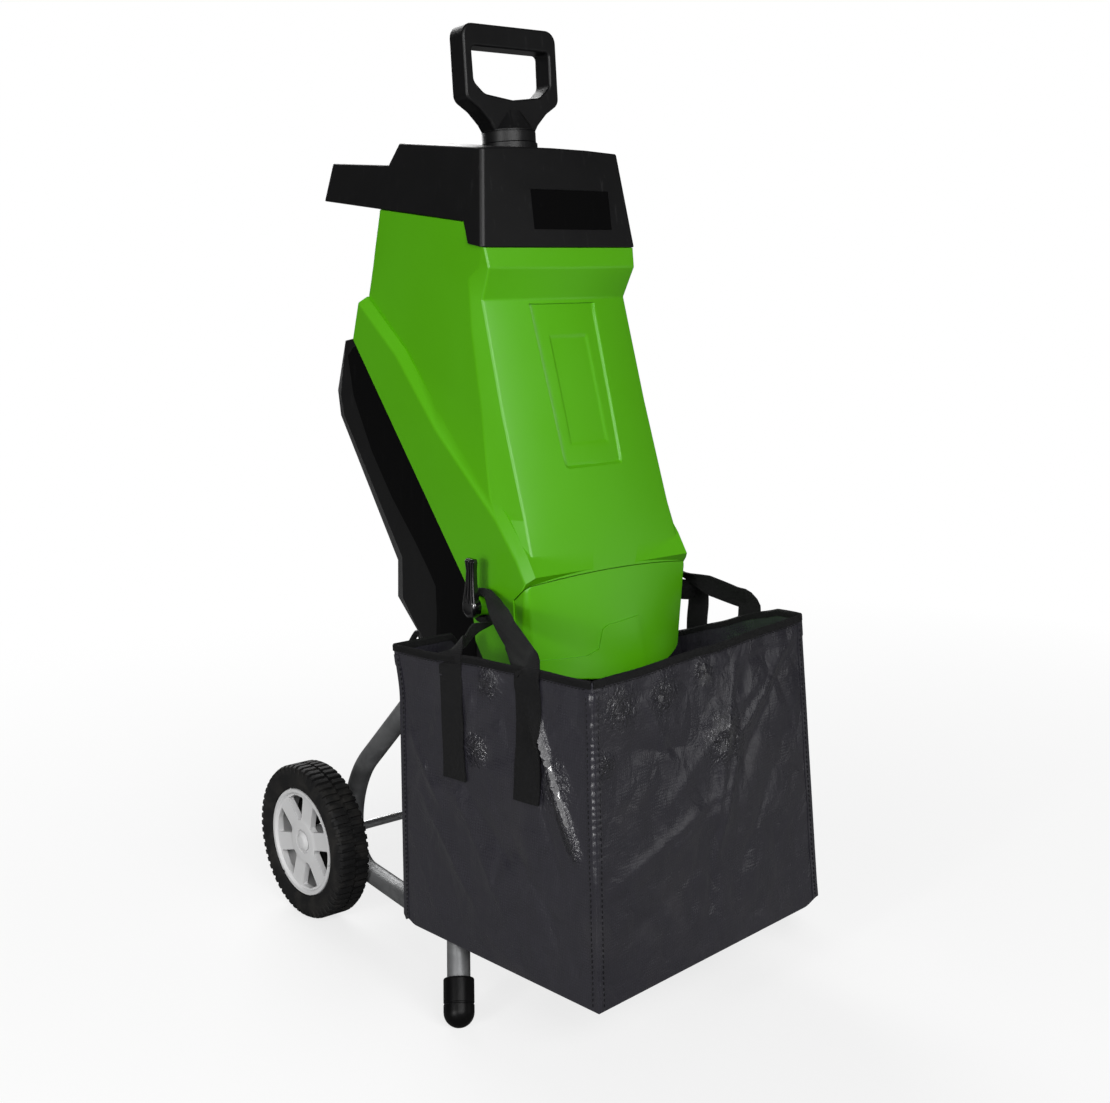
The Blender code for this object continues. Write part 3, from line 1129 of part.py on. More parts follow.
# switch module on the rear panel
panel_up = (Vector((0, *PANEL_TOP)) - Vector((0, *PANEL_LOW))).normalized()
panel_out = SIDE.cross(panel_up)
if panel_out.y < 0:
    panel_out = -panel_out
panel_mid = (Vector((0, *PANEL_TOP)) + Vector((0, *PANEL_LOW))) / 2
panel_turn = Matrix((SIDE, panel_up, SIDE.cross(panel_up))).transposed().to_4x4()
plate_mid = panel_mid + panel_out * (GAP + SWITCH_SIZE[2] / 2)
module = part("switch_module", block(SWITCH_SIZE, plate_mid, panel_turn), BLACK, 0.0, 0.35)
buttons = (("on_button", -0.0200, GREEN), ("off_button", 0.0040, RED))
for name, x, colour in buttons:
    size = BUTTON_SIZE
    mid = panel_mid + SIDE * x + panel_out * (GAP + SWITCH_SIZE[2] + 0.0025 - size[2] / 2)
    button = part(name, block(size, mid - mid, panel_turn), colour, 0.0, 0.35)
    button.location = mid
    bevel(button, 0.0008, 1)
    hole = block((size[0] + 2 * GAP, size[1] + 2 * GAP, 0.030), mid, panel_turn)
    tool = cutter(name + "_hole", hole)
    boolean(module, tool)
    boolean(base, tool)
reset_mid = panel_mid + SIDE * 0.0240
reset = part("reset_button", rod(panel_out * -0.0020, panel_out * (SWITCH_SIZE[2] + 0.0030), RESET_R, 20),
             RED, 0.0, 0.35)
reset.location = reset_mid
tool = cutter("reset_hole", rod(reset_mid - panel_out * 0.02, reset_mid + panel_out * 0.02, RESET_R + GAP, 20))
boolean(module, tool)
boolean(base, tool)

# mains inlet and air slots on the back face
back_high = Vector((0, *BASE_BACK[2]))
back_low = Vector((0, *BASE_BACK[3]))
back_run = (back_low - back_high).normalized()
back_out = SIDE.cross(back_run)
if back_out.y < 0:
    back_out = -back_out
inlet_at = back_high.lerp(back_low, 0.22)
cup = ((INLET_R - 0.0040, GAP + 0.0090), (INLET_R, GAP + 0.0080), (INLET_R, GAP), (INLET_R - 0.0030, GAP),
       (INLET_R - 0.0030, -INLET_DEEP), (0.0, -INLET_DEEP))
inlet = lathe("mains_inlet", ((0.0, -INLET_DEEP + 0.0030), (INLET_R - 0.0060, -INLET_DEEP + 0.0030)) + cup,
              inlet_at, back_out, BLACK, 0.0, 0.35, 20)
for turn in (90.0, 210.0, 330.0):
    offset = SIDE * (0.0065 * cos(radians(turn))) + back_run * (-0.0065 * sin(radians(turn)))
    base_point = inlet_at + offset
    pin = rod(base_point - back_out * (INLET_DEEP - 0.0010), base_point - back_out * 0.0010, 0.0019, 10)
    boolean(inlet, cutter("inlet_pin", pin), "UNION")
boolean(base, cutter("inlet_hole", rod(inlet_at - back_out * 0.03, inlet_at + back_out * 0.03,
                                       INLET_R - 0.0030 + GAP, 20)))
slot_turn = Matrix((SIDE, back_run, SIDE.cross(back_run))).transposed().to_4x4()
for index in range(6):
    slot_at = back_high.lerp(back_low, 0.50) + back_run * (0.0110 * index)
    boolean(base, cutter("air_slot", block((0.0700, 0.0050, 0.0300), slot_at, slot_turn)))

for obj in list(PARTS.objects) + list(CUTTERS.objects):
    obj.location.y -= CENTRE_Y
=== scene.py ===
"""The looks of an electric garden shredder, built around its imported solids.

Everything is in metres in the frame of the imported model: +Z up, the bag in front (-Y), the wheels
behind (+Y). Sizes that a class holds along Y are counted from the machine's own zero, which lies
CENTRE_Y in front of the frame's, and `place` moves them over.
"""
import logging
import math
from contextlib import contextmanager
from dataclasses import dataclass, field
from enum import Enum
from typing import Callable, Iterator, Sequence

import bmesh
import bpy
from mathutils import Matrix, Vector, noise


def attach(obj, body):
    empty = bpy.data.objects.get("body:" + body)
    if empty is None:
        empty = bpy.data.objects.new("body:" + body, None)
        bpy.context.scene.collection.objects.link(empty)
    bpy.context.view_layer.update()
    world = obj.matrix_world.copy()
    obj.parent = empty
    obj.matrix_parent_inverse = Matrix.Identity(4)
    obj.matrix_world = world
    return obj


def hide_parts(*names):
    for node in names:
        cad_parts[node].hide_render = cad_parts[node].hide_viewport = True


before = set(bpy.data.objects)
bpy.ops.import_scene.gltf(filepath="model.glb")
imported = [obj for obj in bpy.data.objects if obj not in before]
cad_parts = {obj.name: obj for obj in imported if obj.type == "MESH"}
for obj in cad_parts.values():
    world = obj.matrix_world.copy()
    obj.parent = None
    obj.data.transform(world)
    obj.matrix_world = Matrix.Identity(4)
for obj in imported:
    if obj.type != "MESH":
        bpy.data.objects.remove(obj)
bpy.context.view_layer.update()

LOG = logging.getLogger("shredder")
# Distances that several pieces share: doubles nearer than MERGE become one, the tower's skirt is
# twice SKIRT_HALF wide, and each lever turns on a hub at LEVER_PIVOT (Y and height).
CENTRE_Y = 0.0735
MERGE = 0.00002
SKIRT_HALF = 0.1205
HUB_GAP = 0.0004
HUB_LONG = 0.0165
LEVER_PIVOT = (0.0480, 0.4225)
LEG_FOOT = (0.2345, -0.0450, 0.0250)
LEG_TOP = (0.1100, 0.1220, 0.3260)
X_AXIS = Vector((1.0, 0.0, 0.0))
Z_AXIS = Vector((0.0, 0.0, 1.0))
Pair = tuple[float, float]
Triple = tuple[float, float, float]
Point = Sequence[float]
Piece = bpy.types.Object
Material = bpy.types.Material
Socket = bpy.types.NodeSocket


def place(x: float, y: float, z: float) -> Vector:
    """Move a point of the machine's own zero into the frame.

    Args:
        x: distance from the plane of symmetry.
        y: distance behind the machine's zero.
        z: height over the floor.

    Returns:
        The point in the frame.
    """
    return Vector((x, y - CENTRE_Y, z))


def smooth(low: float, high: float, value: float) -> float:
    """Return a soft step from 0 at low to 1 at high."""
    share = min(1.0, max(0.0, (value - low) / (high - low)))
    return share * share * (3.0 - 2.0 * share)


class Side(Enum):
    """Which side of the machine a paired piece stands on."""

    LEFT = -1.0
    RIGHT = 1.0

    @property
    def word(self) -> str:
        """Return the side's name as nodes and pieces carry it."""
        return self.name.lower()


class Pick(Enum):
    """Which elements an edit works on."""

    EDGE = "EDGE"
    FACE = "FACE"


class Bench:
    """Modelling steps that the pieces share, done with Blender's operators."""

    @staticmethod
    def only(piece: Piece) -> None:
        """Select one object alone and make it active."""
        bpy.ops.object.select_all(action="DESELECT")
        piece.select_set(True)
        bpy.context.view_layer.objects.active = piece

    @staticmethod
    @contextmanager
    def editing(piece: Piece, pick: Pick = Pick.FACE) -> Iterator[bmesh.types.BMesh]:
        """Hold a piece in edit mode with nothing selected.

        Args:
            piece: the object to edit.
            pick: the kind of element that selections are made of.

        Yields:
            The mesh under edit, for selecting its parts by place or normal.
        """
        Bench.only(piece)
        bpy.ops.object.mode_set(mode="EDIT")
        bpy.ops.mesh.select_mode(type=pick.value)
        bpy.ops.mesh.select_all(action="DESELECT")
        work = bmesh.from_edit_mesh(piece.data)
        try:
            yield work
        finally:
            bmesh.update_edit_mesh(piece.data)
            bpy.ops.object.mode_set(mode="OBJECT")

    @staticmethod
    def outward(merge: float = 0.0) -> None:
        """Turn the faces of the mesh under edit outwards, after merging doubles where asked."""
        bpy.ops.mesh.select_all(action="SELECT")
        if merge:
            bpy.ops.mesh.remove_doubles(threshold=merge)
        bpy.ops.mesh.normals_make_consistent(inside=False)

    @staticmethod
    def settle(piece: Piece) -> Piece:
        """Write an object's place, turn and scale into its mesh."""
        Bench.only(piece)
        bpy.ops.object.transform_apply(location=True, rotation=True, scale=True)
        return piece

    @staticmethod
    def box(name: str, size: Point, centre: Point, turn: Matrix | None = None) -> Piece:
        """Add a cube primitive of a size about a centre, turned by a rotation."""
        angles = (turn or Matrix.Identity(3)).to_3x3().to_euler()
        bpy.ops.mesh.primitive_cube_add(size=1.0, location=centre, rotation=angles)
        piece = bpy.context.object
        piece.name = name
        piece.scale = size
        return Bench.settle(piece)

    @staticmethod
    def rod(name: str, start: Point, end: Point, radius: float, sides: int = 48,
            tip: float | None = None) -> Piece:
        """Add a round bar, or a cone where a tip radius is given, from start to end."""
        first, last = Vector(start), Vector(end)
        run = last - first
        angles = run.to_track_quat("Z", "Y").to_euler()
        bpy.ops.mesh.primitive_cone_add(
            vertices=sides, radius1=radius, radius2=radius if tip is None else tip,
            depth=run.length, location=(first + last) / 2.0, rotation=angles)
        piece = bpy.context.object
        piece.name = name
        return Bench.settle(piece)

    @staticmethod
    def plate(name: str, outline: Sequence[Point], thick: Vector) -> Piece:
        """Extrude a flat outline.

        Args:
            name: the piece's name.
            outline: the corner points in order.
            thick: the way and distance that the outline is extruded.

        Returns:
            The closed plate.
        """
        bpy.ops.mesh.primitive_circle_add(vertices=len(outline), fill_type="NGON")
        piece = bpy.context.object
        piece.name = name
        for vert, corner in zip(piece.data.vertices, outline):
            vert.co = corner
        with Bench.editing(piece):
            bpy.ops.mesh.select_all(action="SELECT")
            bpy.ops.mesh.extrude_region_move(TRANSFORM_OT_translate={"value": thick})
            Bench.outward()
        return Bench.settle(piece)

    @staticmethod
    def loft(name: str, rings: Sequence[Sequence[Point]]) -> Piece:
        """Skin a row of closed rings that have the same number of points, and close both ends."""
        piece = Bench.sheet(name, [[*ring, ring[0]] for ring in rings])
        with Bench.editing(piece, Pick.EDGE):
            bpy.ops.mesh.select_all(action="SELECT")
            bpy.ops.mesh.remove_doubles(threshold=0.000001)
            bpy.ops.mesh.fill_holes(sides=0)
            Bench.outward()
        return piece

    @staticmethod
    def sheet(name: str, rows: Sequence[Sequence[Point]],
              lay: Callable[[int, int], Pair] | None = None) -> Piece:
        """Stretch a grid over rows of points.

        Args:
            name: the piece's name.
            rows: rows of points, each with the same number.
            lay: gives a column's and row's place on the flat cloth, where a finish needs it.

        Returns:
            The open sheet.
        """
        across, along = len(rows[0]) - 1, len(rows) - 1
        bpy.ops.mesh.primitive_grid_add(x_subdivisions=across, y_subdivisions=along, size=2.0)
        piece = bpy.context.object
        piece.name = name
        seats = [(round((vert.co.x + 1.0) / 2.0 * across), round((vert.co.y + 1.0) / 2.0 * along))
                 for vert in piece.data.vertices]
        for vert, (column, row) in zip(piece.data.vertices, seats):
            vert.co = rows[row][column]
        if lay:
            Bench.lay_flat(piece, [lay(*seat) for seat in seats])
        return piece

    @staticmethod
    def lay_flat(piece: Piece, spots: Sequence[Pair]) -> None:
        """Write each vertex's place on the flat cloth, in metres, into the piece's UV map."""
        layer = piece.data.uv_layers.active or piece.data.uv_layers.new(name="lay")
        for loop in piece.data.loops:
            layer.data[loop.index].uv = spots[loop.vertex_index]

    @staticmethod
    def slices(name: str, count: int, axis: Vector) -> Piece:
        """Add a unit cube in front of the origin, cut into equal slices along an axis."""
        bar = Bench.box(name, (1.0, 1.0, 1.0), (0.5, 0.0, 0.5))
        with Bench.editing(bar):
            for row in range(1, count):
                bpy.ops.mesh.select_all(action="SELECT")
                bpy.ops.mesh.bisect(plane_co=axis * (row / count), plane_no=axis)
        return bar

    @staticmethod
    def turned(name: str, profile: Sequence[Pair], origin: Point, axis: Vector,
               steps: int = 72, closed: bool = False) -> Piece:
        """Spin a profile about an axis.

        Args:
            name: the piece's name.
            profile: (height, radius) points along the axis.
            origin: where height 0 lies on the axis.
            axis: the way in which heights grow.
            steps: how many steps the full turn has.
            closed: whether the last point joins the first, as round a ring.

        Returns:
            The turned piece.
        """
        bpy.ops.mesh.primitive_circle_add(vertices=len(profile))
        piece = bpy.context.object
        piece.name = name
        for vert, (height, radius) in zip(piece.data.vertices, profile):
            vert.co = (radius, 0.0, height)
        last = len(profile) - 1
        with Bench.editing(piece, Pick.EDGE) as work:
            if not closed:
                work.verts.ensure_lookup_table()
                work.edges.remove(work.edges.get((work.verts[last], work.verts[0])))
                bmesh.update_edit_mesh(piece.data)
            bpy.ops.mesh.select_all(action="SELECT")
            bpy.ops.mesh.spin(steps=steps, angle=2.0 * math.pi, center=(0.0, 0.0, 0.0), axis=(0.0, 0.0, 1.0))
            Bench.outward(0.00001)
        way = Vector(axis).normalized()
        piece.rotation_euler = way.to_track_quat("Z", "Y").to_euler()
        piece.location = origin
        return Bench.settle(piece)

    @staticmethod
    def tube(name: str, path: Sequence[Point], radius: float, sides: int = 10) -> Piece:
        """Run a round tube along a path, with closed ends."""
        curve = bpy.data.curves.new(name, "CURVE")
        curve.dimensions = "3D"
        curve.bevel_depth = radius
        curve.bevel_resolution = sides
        curve.use_fill_caps = True
        spline = curve.splines.new("POLY")
        spline.points.add(len(path) - 1)
        for knot, point in zip(spline.points, path):
            knot.co = (*point, 1.0)
        piece = bpy.data.objects.new(name, curve)
        bpy.context.scene.collection.objects.link(piece)
        Bench.only(piece)
        bpy.ops.object.convert(target="MESH")
        piece = bpy.context.object
        Bench.heal(piece)
        return piece

    @staticmethod
    def heal(piece: Piece) -> None:
        """Merge doubles and turn the faces outwards."""
        with Bench.editing(piece):
            Bench.outward(MERGE)

    @staticmethod
    def from_node(name: str, node: str, flat: float = 0.6) -> Piece:
        """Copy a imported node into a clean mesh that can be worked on.

        Args:
            name: the new piece's name.
            node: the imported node.
            flat: faces that differ by fewer degrees than this become one face.

        Returns:
            The merged copy.
        """
        piece = bpy.data.objects.new(name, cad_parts[node].data.copy())
        bpy.context.scene.collection.objects.link(piece)
        Bench.only(piece)
        if piece.data.has_custom_normals:
            bpy.ops.mesh.customdata_custom_splitnormals_clear()
        piece.data.materials.clear()
        with Bench.editing(piece):
            bpy.ops.mesh.select_all(action="SELECT")
            bpy.ops.mesh.remove_doubles(threshold=MERGE)
            bpy.ops.mesh.dissolve_limited(angle_limit=math.radians(flat))
        return piece

    @staticmethod
    def modify(piece: Piece, kind: str, **settings: object) -> None:
        """Add one modifier with its settings and apply it."""
        modifier = piece.modifiers.new(kind.lower(), kind)
        for name, value in settings.items():
            setattr(modifier, name, value)
        Bench.only(piece)
        bpy.ops.object.modifier_apply(modifier=modifier.name)

    @staticmethod
    def bevel(piece: Piece, width: float, segments: int, limit: float) -> None:
        """Round the edges that are sharper than a limit in degrees."""
        Bench.modify(piece, "BEVEL", width=width, segments=segments, limit_method="ANGLE",
                     angle_limit=math.radians(limit), use_clamp_overlap=True)

    @staticmethod
    def dress(nodes: Sequence[str], material: Material) -> None:
        """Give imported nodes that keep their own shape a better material."""
        for node in nodes:
            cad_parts[node].data.materials[0] = material

    @staticmethod
    def combine(piece: Piece, tool: Piece, operation: str = "DIFFERENCE") -> None:
        """Cut, join or intersect a piece with a tool, which is used up."""
        Bench.modify(piece, "BOOLEAN", operation=operation, solver="EXACT", object=tool)
        bpy.data.objects.remove(tool)

    @staticmethod
    def gather(name: str, pieces: Sequence[Piece]) -> Piece:
        """Join several objects into the first and name it."""
        Bench.only(pieces[0])
        for other in pieces[1:]:
            other.select_set(True)
        if len(pieces) > 1:
            bpy.ops.object.join()
        joined = bpy.context.object
        joined.name = name
        return joined

    @staticmethod
    def soften(piece: Piece, width: float, segments: int = 2, limit: float = 32.0,
               smooth_angle: float = 40.0) -> None:
        """Round the edges and give the flat faces even shading.

        Args:
            piece: the object to finish.
            width: how wide the rounding is, 0 for none.
            segments: how many faces the rounding has.
            limit: edges sharper than this many degrees are rounded.
            smooth_angle: edges sharper than this many degrees stay crisp.
        """
        if width > 0.0:
            Bench.bevel(piece, width, segments, limit)
        Bench.only(piece)
        bpy.ops.object.shade_smooth_by_angle(angle=math.radians(smooth_angle))
        Bench.modify(piece, "WEIGHTED_NORMAL", keep_sharp=True, weight=80)

    @staticmethod
    def rest(piece: Piece, body: str, material: Material,
             stands_for: Sequence[str] = (), slot: str | None = None) -> Piece:
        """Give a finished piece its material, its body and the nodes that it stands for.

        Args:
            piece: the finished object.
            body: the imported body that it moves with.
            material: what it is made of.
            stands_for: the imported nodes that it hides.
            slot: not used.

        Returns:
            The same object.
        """
        piece.data.materials.clear()
        piece.data.materials.append(material)
        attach(piece, body)
        if stands_for:
            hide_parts(*stands_for)
        LOG.info("%s rides on %s, %d faces", piece.name, body, len(piece.data.polygons))
        return piece


def rounded(corners: Sequence[Vector], radii: Sequence[float], steps: int = 6,
            closed: bool = True) -> list[Vector]:
    """Round the corners of a path or an outline.

    Args:
        corners: the corner points.
        radii: the rounding radius at each corner, 0 for a sharp one.
        steps: how many steps each arc has.
        closed: whether the last corner leads on to the first.

    Returns:
        The points of the rounded path.
    """
    path: list[Vector] = []
    count = len(corners)
    for index, (corner, radius) in enumerate(zip(corners, radii)):
        if radius <= 0.0 or (not closed and index in (0, count - 1)):
            path.append(corner.copy())
            continue
        back = (corners[index - 1] - corner).normalized()
        ahead = (corners[(index + 1) % count] - corner).normalized()
        half = back.angle(ahead) / 2.0
        reach = radius / math.tan(half)
        centre = corner + (back + ahead).normalized() * radius / math.sin(half)
        start = corner + back * reach - centre
        end = corner + ahead * reach - centre
        normal = start.cross(end).normalized()
        sweep = start.angle(end)
        for step in range(steps + 1):
            path.append(centre + Matrix.Rotation(sweep * step / steps, 3, normal) @ start)
    return path


class Graph:
    """A material's node tree, with short calls for the nodes that the finishes use."""

    def __init__(self, name: str) -> None:
        """Start a material of this name with a Principled shader."""
        self.material = bpy.data.materials.new(name)
        self.material.use_nodes = True
        self.tree = self.material.node_tree
        self.shader = self.tree.nodes["Principled BSDF"]
        self.source = self.tree.nodes.new("ShaderNodeTexCoord")

    def node(self, kind: str, **settings: object) -> bpy.types.Node:
        """Add a node with its settings."""
        made = self.tree.nodes.new(kind)
        for name, value in settings.items():
            setattr(made, name, value)
        return made

    def wire(self, start: Socket, end: Socket) -> None:
        """Link two sockets."""
        self.tree.links.new(start, end)

    def mapped(self, scale: Point = (1.0, 1.0, 1.0), turn: Point = (0.0, 0.0, 0.0),
               channel: str = "Object") -> Socket:
        """Return object or UV coordinates, scaled and turned."""
        mapping = self.node("ShaderNodeMapping")
        mapping.inputs["Scale"].default_value = scale
        mapping.inputs["Rotation"].default_value = turn
        self.wire(self.source.outputs[channel], mapping.inputs["Vector"])
        return mapping.outputs["Vector"]

    def clouds(self, vector: Socket, scale: float, detail: float = 3.0, twist: float = 0.0) -> Socket:
        """Return soft noise."""
        made = self.node("ShaderNodeTexNoise")
        made.inputs["Scale"].default_value = scale
        made.inputs["Detail"].default_value = detail
        made.inputs["Distortion"].default_value = twist
        self.wire(vector, made.inputs["Vector"])
        return made.outputs["Fac"]

    def cells(self, vector: Socket, scale: float, feature: str = "F1") -> Socket:
        """Return the distance pattern of scattered cells."""
        made = self.node("ShaderNodeTexVoronoi", feature=feature)
        made.inputs["Scale"].default_value = scale
        self.wire(vector, made.inputs["Vector"])
        return made.outputs["Distance"]

    def bands(self, vector: Socket, scale: float, direction: str, twist: float = 0.0) -> Socket:
        """Return parallel sine bands across X, Y or Z."""
        made = self.node("ShaderNodeTexWave", wave_type="BANDS", bands_direction=direction)
        made.inputs["Scale"].default_value = scale
        made.inputs["Distortion"].default_value = twist
        made.inputs["Detail"].default_value = 1.0
        self.wire(vector, made.inputs["Vector"])
        return made.outputs["Fac"]

    def maths(self, operation: str, first: Socket, second: Socket | float) -> Socket:
        """Combine two values."""
        made = self.node("ShaderNodeMath", operation=operation)
        self.wire(first, made.inputs[0])
        if isinstance(second, (int, float)):
            made.inputs[1].default_value = second
        else:
            self.wire(second, made.inputs[1])
        return made.outputs[0]

    def spread(self, value: Socket, low: float, high: float, start: float = 0.0,
               end: float = 1.0) -> Socket:
        """Map start..end of a value onto low..high."""
        made = self.node("ShaderNodeMapRange")
        for name, number in (("From Min", start), ("From Max", end), ("To Min", low), ("To Max", high)):
            made.inputs[name].default_value = number
        self.wire(value, made.inputs["Value"])
        return made.outputs["Result"]

    def blend(self, share: Socket, first: Socket | Point, second: Socket | Point) -> Socket:
        """Mix two colours by a value."""
        made = self.node("ShaderNodeMix", data_type="RGBA")
        self.wire(share, made.inputs[0])
        for socket, colour in ((made.inputs[6], first), (made.inputs[7], second)):
            if isinstance(colour, bpy.types.NodeSocket):
                self.wire(colour, socket)
            else:
                socket.default_value = (*colour[:3], 1.0)
        return made.outputs[2]

    def bump(self, height: Socket, distance: float, strength: float = 1.0,
             below: Socket | None = None) -> Socket:
        """Turn a height into a normal, over another normal where one is given."""
        made = self.node("ShaderNodeBump")
        made.inputs["Distance"].default_value = distance
        made.inputs["Strength"].default_value = strength
        self.wire(height, made.inputs["Height"])
        if below is not None:
            self.wire(below, made.inputs["Normal"])
        return made.outputs["Normal"]

    def into(self, name: str, value: Socket | float) -> None:
        """Feed the shader's socket of this name."""
        if isinstance(value, (int, float)):
            self.shader.inputs[name].default_value = value
        else:
            self.wire(value, self.shader.inputs[name])


def shade(colour: Point, factor: float) -> Triple:
    """Return a lighter or darker colour."""
    return tuple(min(1.0, channel * factor) for channel in colour[:3])


@dataclass(frozen=True)
class MouldedPlastic:
    """Injection-moulded plastic: fine grain, faint flow marks, a little dust and scuffing."""

    name: str
    colour: Triple
    roughness: float = 0.42
    grain_scale: float = 1500.0
    grain_deep: float = 0.00005
    mottle: float = 0.06
    scuff: float = 0.25
    coat: float = 0.0
    sheen: float = 0.30

    def material(self) -> Material:
        """Build the node material."""
        graph = Graph(self.name)
        spot = graph.mapped()
        broad = graph.clouds(spot, 7.0, 4.0, 0.4)
        fine = graph.clouds(spot, self.grain_scale, 2.0)
        toned = graph.blend(broad, shade(self.colour, 1.0 - self.mottle),
                            shade(self.colour, 1.0 + self.mottle))
        scratches = graph.clouds(graph.mapped((260.0, 260.0, 14.0), (0.3, 0.2, 0.5)), 1.0, 4.0, 0.6)
        marked = graph.spread(scratches, 0.0, self.scuff, 0.64, 0.74)
        pale = tuple(channel * 0.85 + 0.05 for channel in self.colour)
        graph.into("Base Color", graph.blend(marked, toned, pale))
        worn = graph.maths("ADD", graph.spread(broad, self.roughness - 0.05, self.roughness + 0.07, 0.3, 0.7),
                           graph.spread(marked, 0.0, 0.12, 0.0, 1.0))
        graph.into("Roughness", worn)
        flow = graph.bump(graph.clouds(spot, 22.0, 2.0), 0.0009, 0.20)
        graph.into("Normal", graph.bump(fine, self.grain_deep, 0.8, flow))
        graph.into("Coat Weight", self.coat)
        graph.into("Coat Roughness", 0.12)
        graph.into("Specular IOR Level", self.sheen)
        return graph.material


@dataclass(frozen=True)
class Metal:
    """Bare, turned or painted metal with brushing, stains and a few scratches."""

    name: str
    colour: Triple
    stain: Triple
    metallic: float = 0.9
    roughness: float = 0.34
    brush: Triple = (90.0, 90.0, 900.0)
    brush_deep: float = 0.00004

    def material(self) -> Material:
        """Build the node material."""
        graph = Graph(self.name)
        spot = graph.mapped()
        stains = graph.spread(graph.clouds(spot, 34.0, 5.0, 0.8), 0.0, 1.0, 0.42, 0.72)
        lines = graph.clouds(graph.mapped(self.brush), 1.0, 3.0)
        base = graph.blend(lines, shade(self.colour, 0.90), shade(self.colour, 1.08))
        graph.into("Base Color", graph.blend(stains, base, self.stain))
        rough = graph.maths("ADD", graph.spread(lines, self.roughness - 0.06, self.roughness + 0.06),
                            graph.spread(stains, 0.0, 0.14))
        graph.into("Roughness", rough)
        graph.into("Metallic", self.metallic)
        dents = graph.bump(graph.clouds(spot, 60.0, 2.0), 0.0004, 0.15)
        graph.into("Normal", graph.bump(lines, self.brush_deep, 0.7, dents))
        return graph.material


@dataclass(frozen=True)
class Rubber:
    """Tyre or foot rubber: matt, with moulding grain and patches of dry dust."""

    name: str
    colour: Triple
    dust: Triple = (0.060, 0.055, 0.048)
    roughness: float = 0.68
    dusty: float = 0.30
    gloss: float = 0.26

    def material(self) -> Material:
        """Build the node material."""
        graph = Graph(self.name)
        spot = graph.mapped()
        dirt = graph.spread(graph.clouds(spot, 38.0, 6.0, 0.7), 0.0, self.dusty, 0.46, 0.74)
        tone = graph.blend(graph.clouds(spot, 11.0, 3.0), shade(self.colour, 0.85), shade(self.colour, 1.25))
        graph.into("Base Color", graph.blend(dirt, tone, self.dust))
        graph.into("Roughness", graph.maths("ADD", graph.spread(dirt, 0.0, 0.2), self.roughness))
        soft = graph.bump(graph.clouds(spot, 160.0, 3.0), 0.0003, 0.25)
        graph.into("Normal", graph.bump(graph.clouds(spot, 1300.0, 2.0), 0.00006, 0.7, soft))
        graph.into("Specular IOR Level", self.gloss)
        return graph.material


@dataclass(frozen=True)
class CoatedCloth:
    """Woven tape cloth under a glossy film: a square weave of flat tapes with fine crinkling all over,
    painted shade in its hollows and painted highlight on its ridges.
    """

    name: str
    colour: Triple
    tape: float = 0.0024
    roughness: float = 0.26

    def material(self) -> Material:
        """Build the node material, whose weave follows the cloth's own UV map in metres."""
        graph = Graph(self.name)
        lay = graph.mapped(channel="UV")
        turns = 0.25 / self.tape
        warp = graph.bands(lay, turns, "X", 0.15)
        weft = graph.bands(lay, turns, "Y", 0.15)
        weave = graph.maths("MULTIPLY", warp, weft)
        spot = graph.mapped()
        crinkle_and_shade = graph.clouds(spot, 34.0, 4.0, 1.2)
        sharp = graph.cells(graph.mapped((26.0, 26.0, 15.0)), 1.0, "DISTANCE_TO_EDGE")
        folds = graph.maths("ADD", graph.spread(sharp, 0.0, 0.5, 0.0, 0.30), crinkle_and_shade)
        # The noise that raises the fine bump also sets the colour: painted shade in its hollows, painted
        # highlight on its ridges.
        tone = graph.blend(crinkle_and_shade, shade(self.colour, 0.78), shade(self.colour, 1.22))
        cloth = graph.blend(graph.spread(weave, 0.0, 0.6), tone, shade(self.colour, 1.45))
        dust = graph.spread(graph.clouds(spot, 16.0, 6.0, 0.5), 0.0, 0.16, 0.52, 0.76)
        graph.into("Base Color", graph.blend(dust, cloth, (0.060, 0.057, 0.055)))
        gloss = graph.spread(graph.clouds(spot, 13.0, 3.0, 0.8), self.roughness - 0.07, self.roughness + 0.12,
                             0.32, 0.68)
        graph.into("Roughness", gloss)
        graph.into("Specular IOR Level", 0.55)
        glint = graph.node("ShaderNodeAttribute", attribute_name="glint").outputs["Fac"]
        graph.into("Coat Weight", graph.spread(glint, 0.14, 1.0))
        graph.into("Coat Roughness", graph.spread(glint, 0.16, 0.05))
        puckers = graph.maths("MULTIPLY", graph.clouds(spot, 120.0, 2.0, 1.6), glint)
        large = graph.bump(puckers, 0.0130, 1.0, graph.bump(folds, 0.0034, 0.50))
        small = graph.bump(graph.clouds(spot, 240.0, 3.0, 0.6), 0.0005, 0.40, large)
        graph.into("Normal", graph.bump(weave, 0.00016, 0.5, small))
        return graph.material


@dataclass(frozen=True)
class WovenBand:
    """Woven webbing: a rib across the band, darker selvedges and a little fluff."""

    name: str
    colour: Triple
    rib: float = 0.0016

    def material(self) -> Material:
        """Build the node material, whose ribs follow the band's own UV map in metres."""
        graph = Graph(self.name)
        lay = graph.mapped(channel="UV")
        turns = 0.5 / self.rib
        ribs = graph.bands(lay, turns, "Y", 0.3)
        yarns = graph.bands(graph.mapped((1.0, 1.0, 1.0), (0.0, 0.0, 0.6), "UV"), turns * 1.6, "X", 0.2)
        weave = graph.maths("MULTIPLY", ribs, yarns)
        fluff = graph.clouds(graph.mapped(), 420.0, 4.0, 0.5)
        tone = graph.blend(weave, shade(self.colour, 0.6), shade(self.colour, 1.7))
        graph.into("Base Color", graph.blend(graph.spread(fluff, 0.0, 0.5, 0.45, 0.75), tone,
                                             shade(self.colour, 2.6)))
        graph.into("Roughness", graph.spread(fluff, 0.72, 0.92))
        graph.into("Specular IOR Level", 0.20)
        graph.into("Sheen Weight", 0.03)
        graph.into("Sheen Roughness", 0.4)
        rough = graph.bump(fluff, 0.0002, 0.4)
        graph.into("Normal", graph.bump(weave, 0.0004, 0.9, rough))
        return graph.material


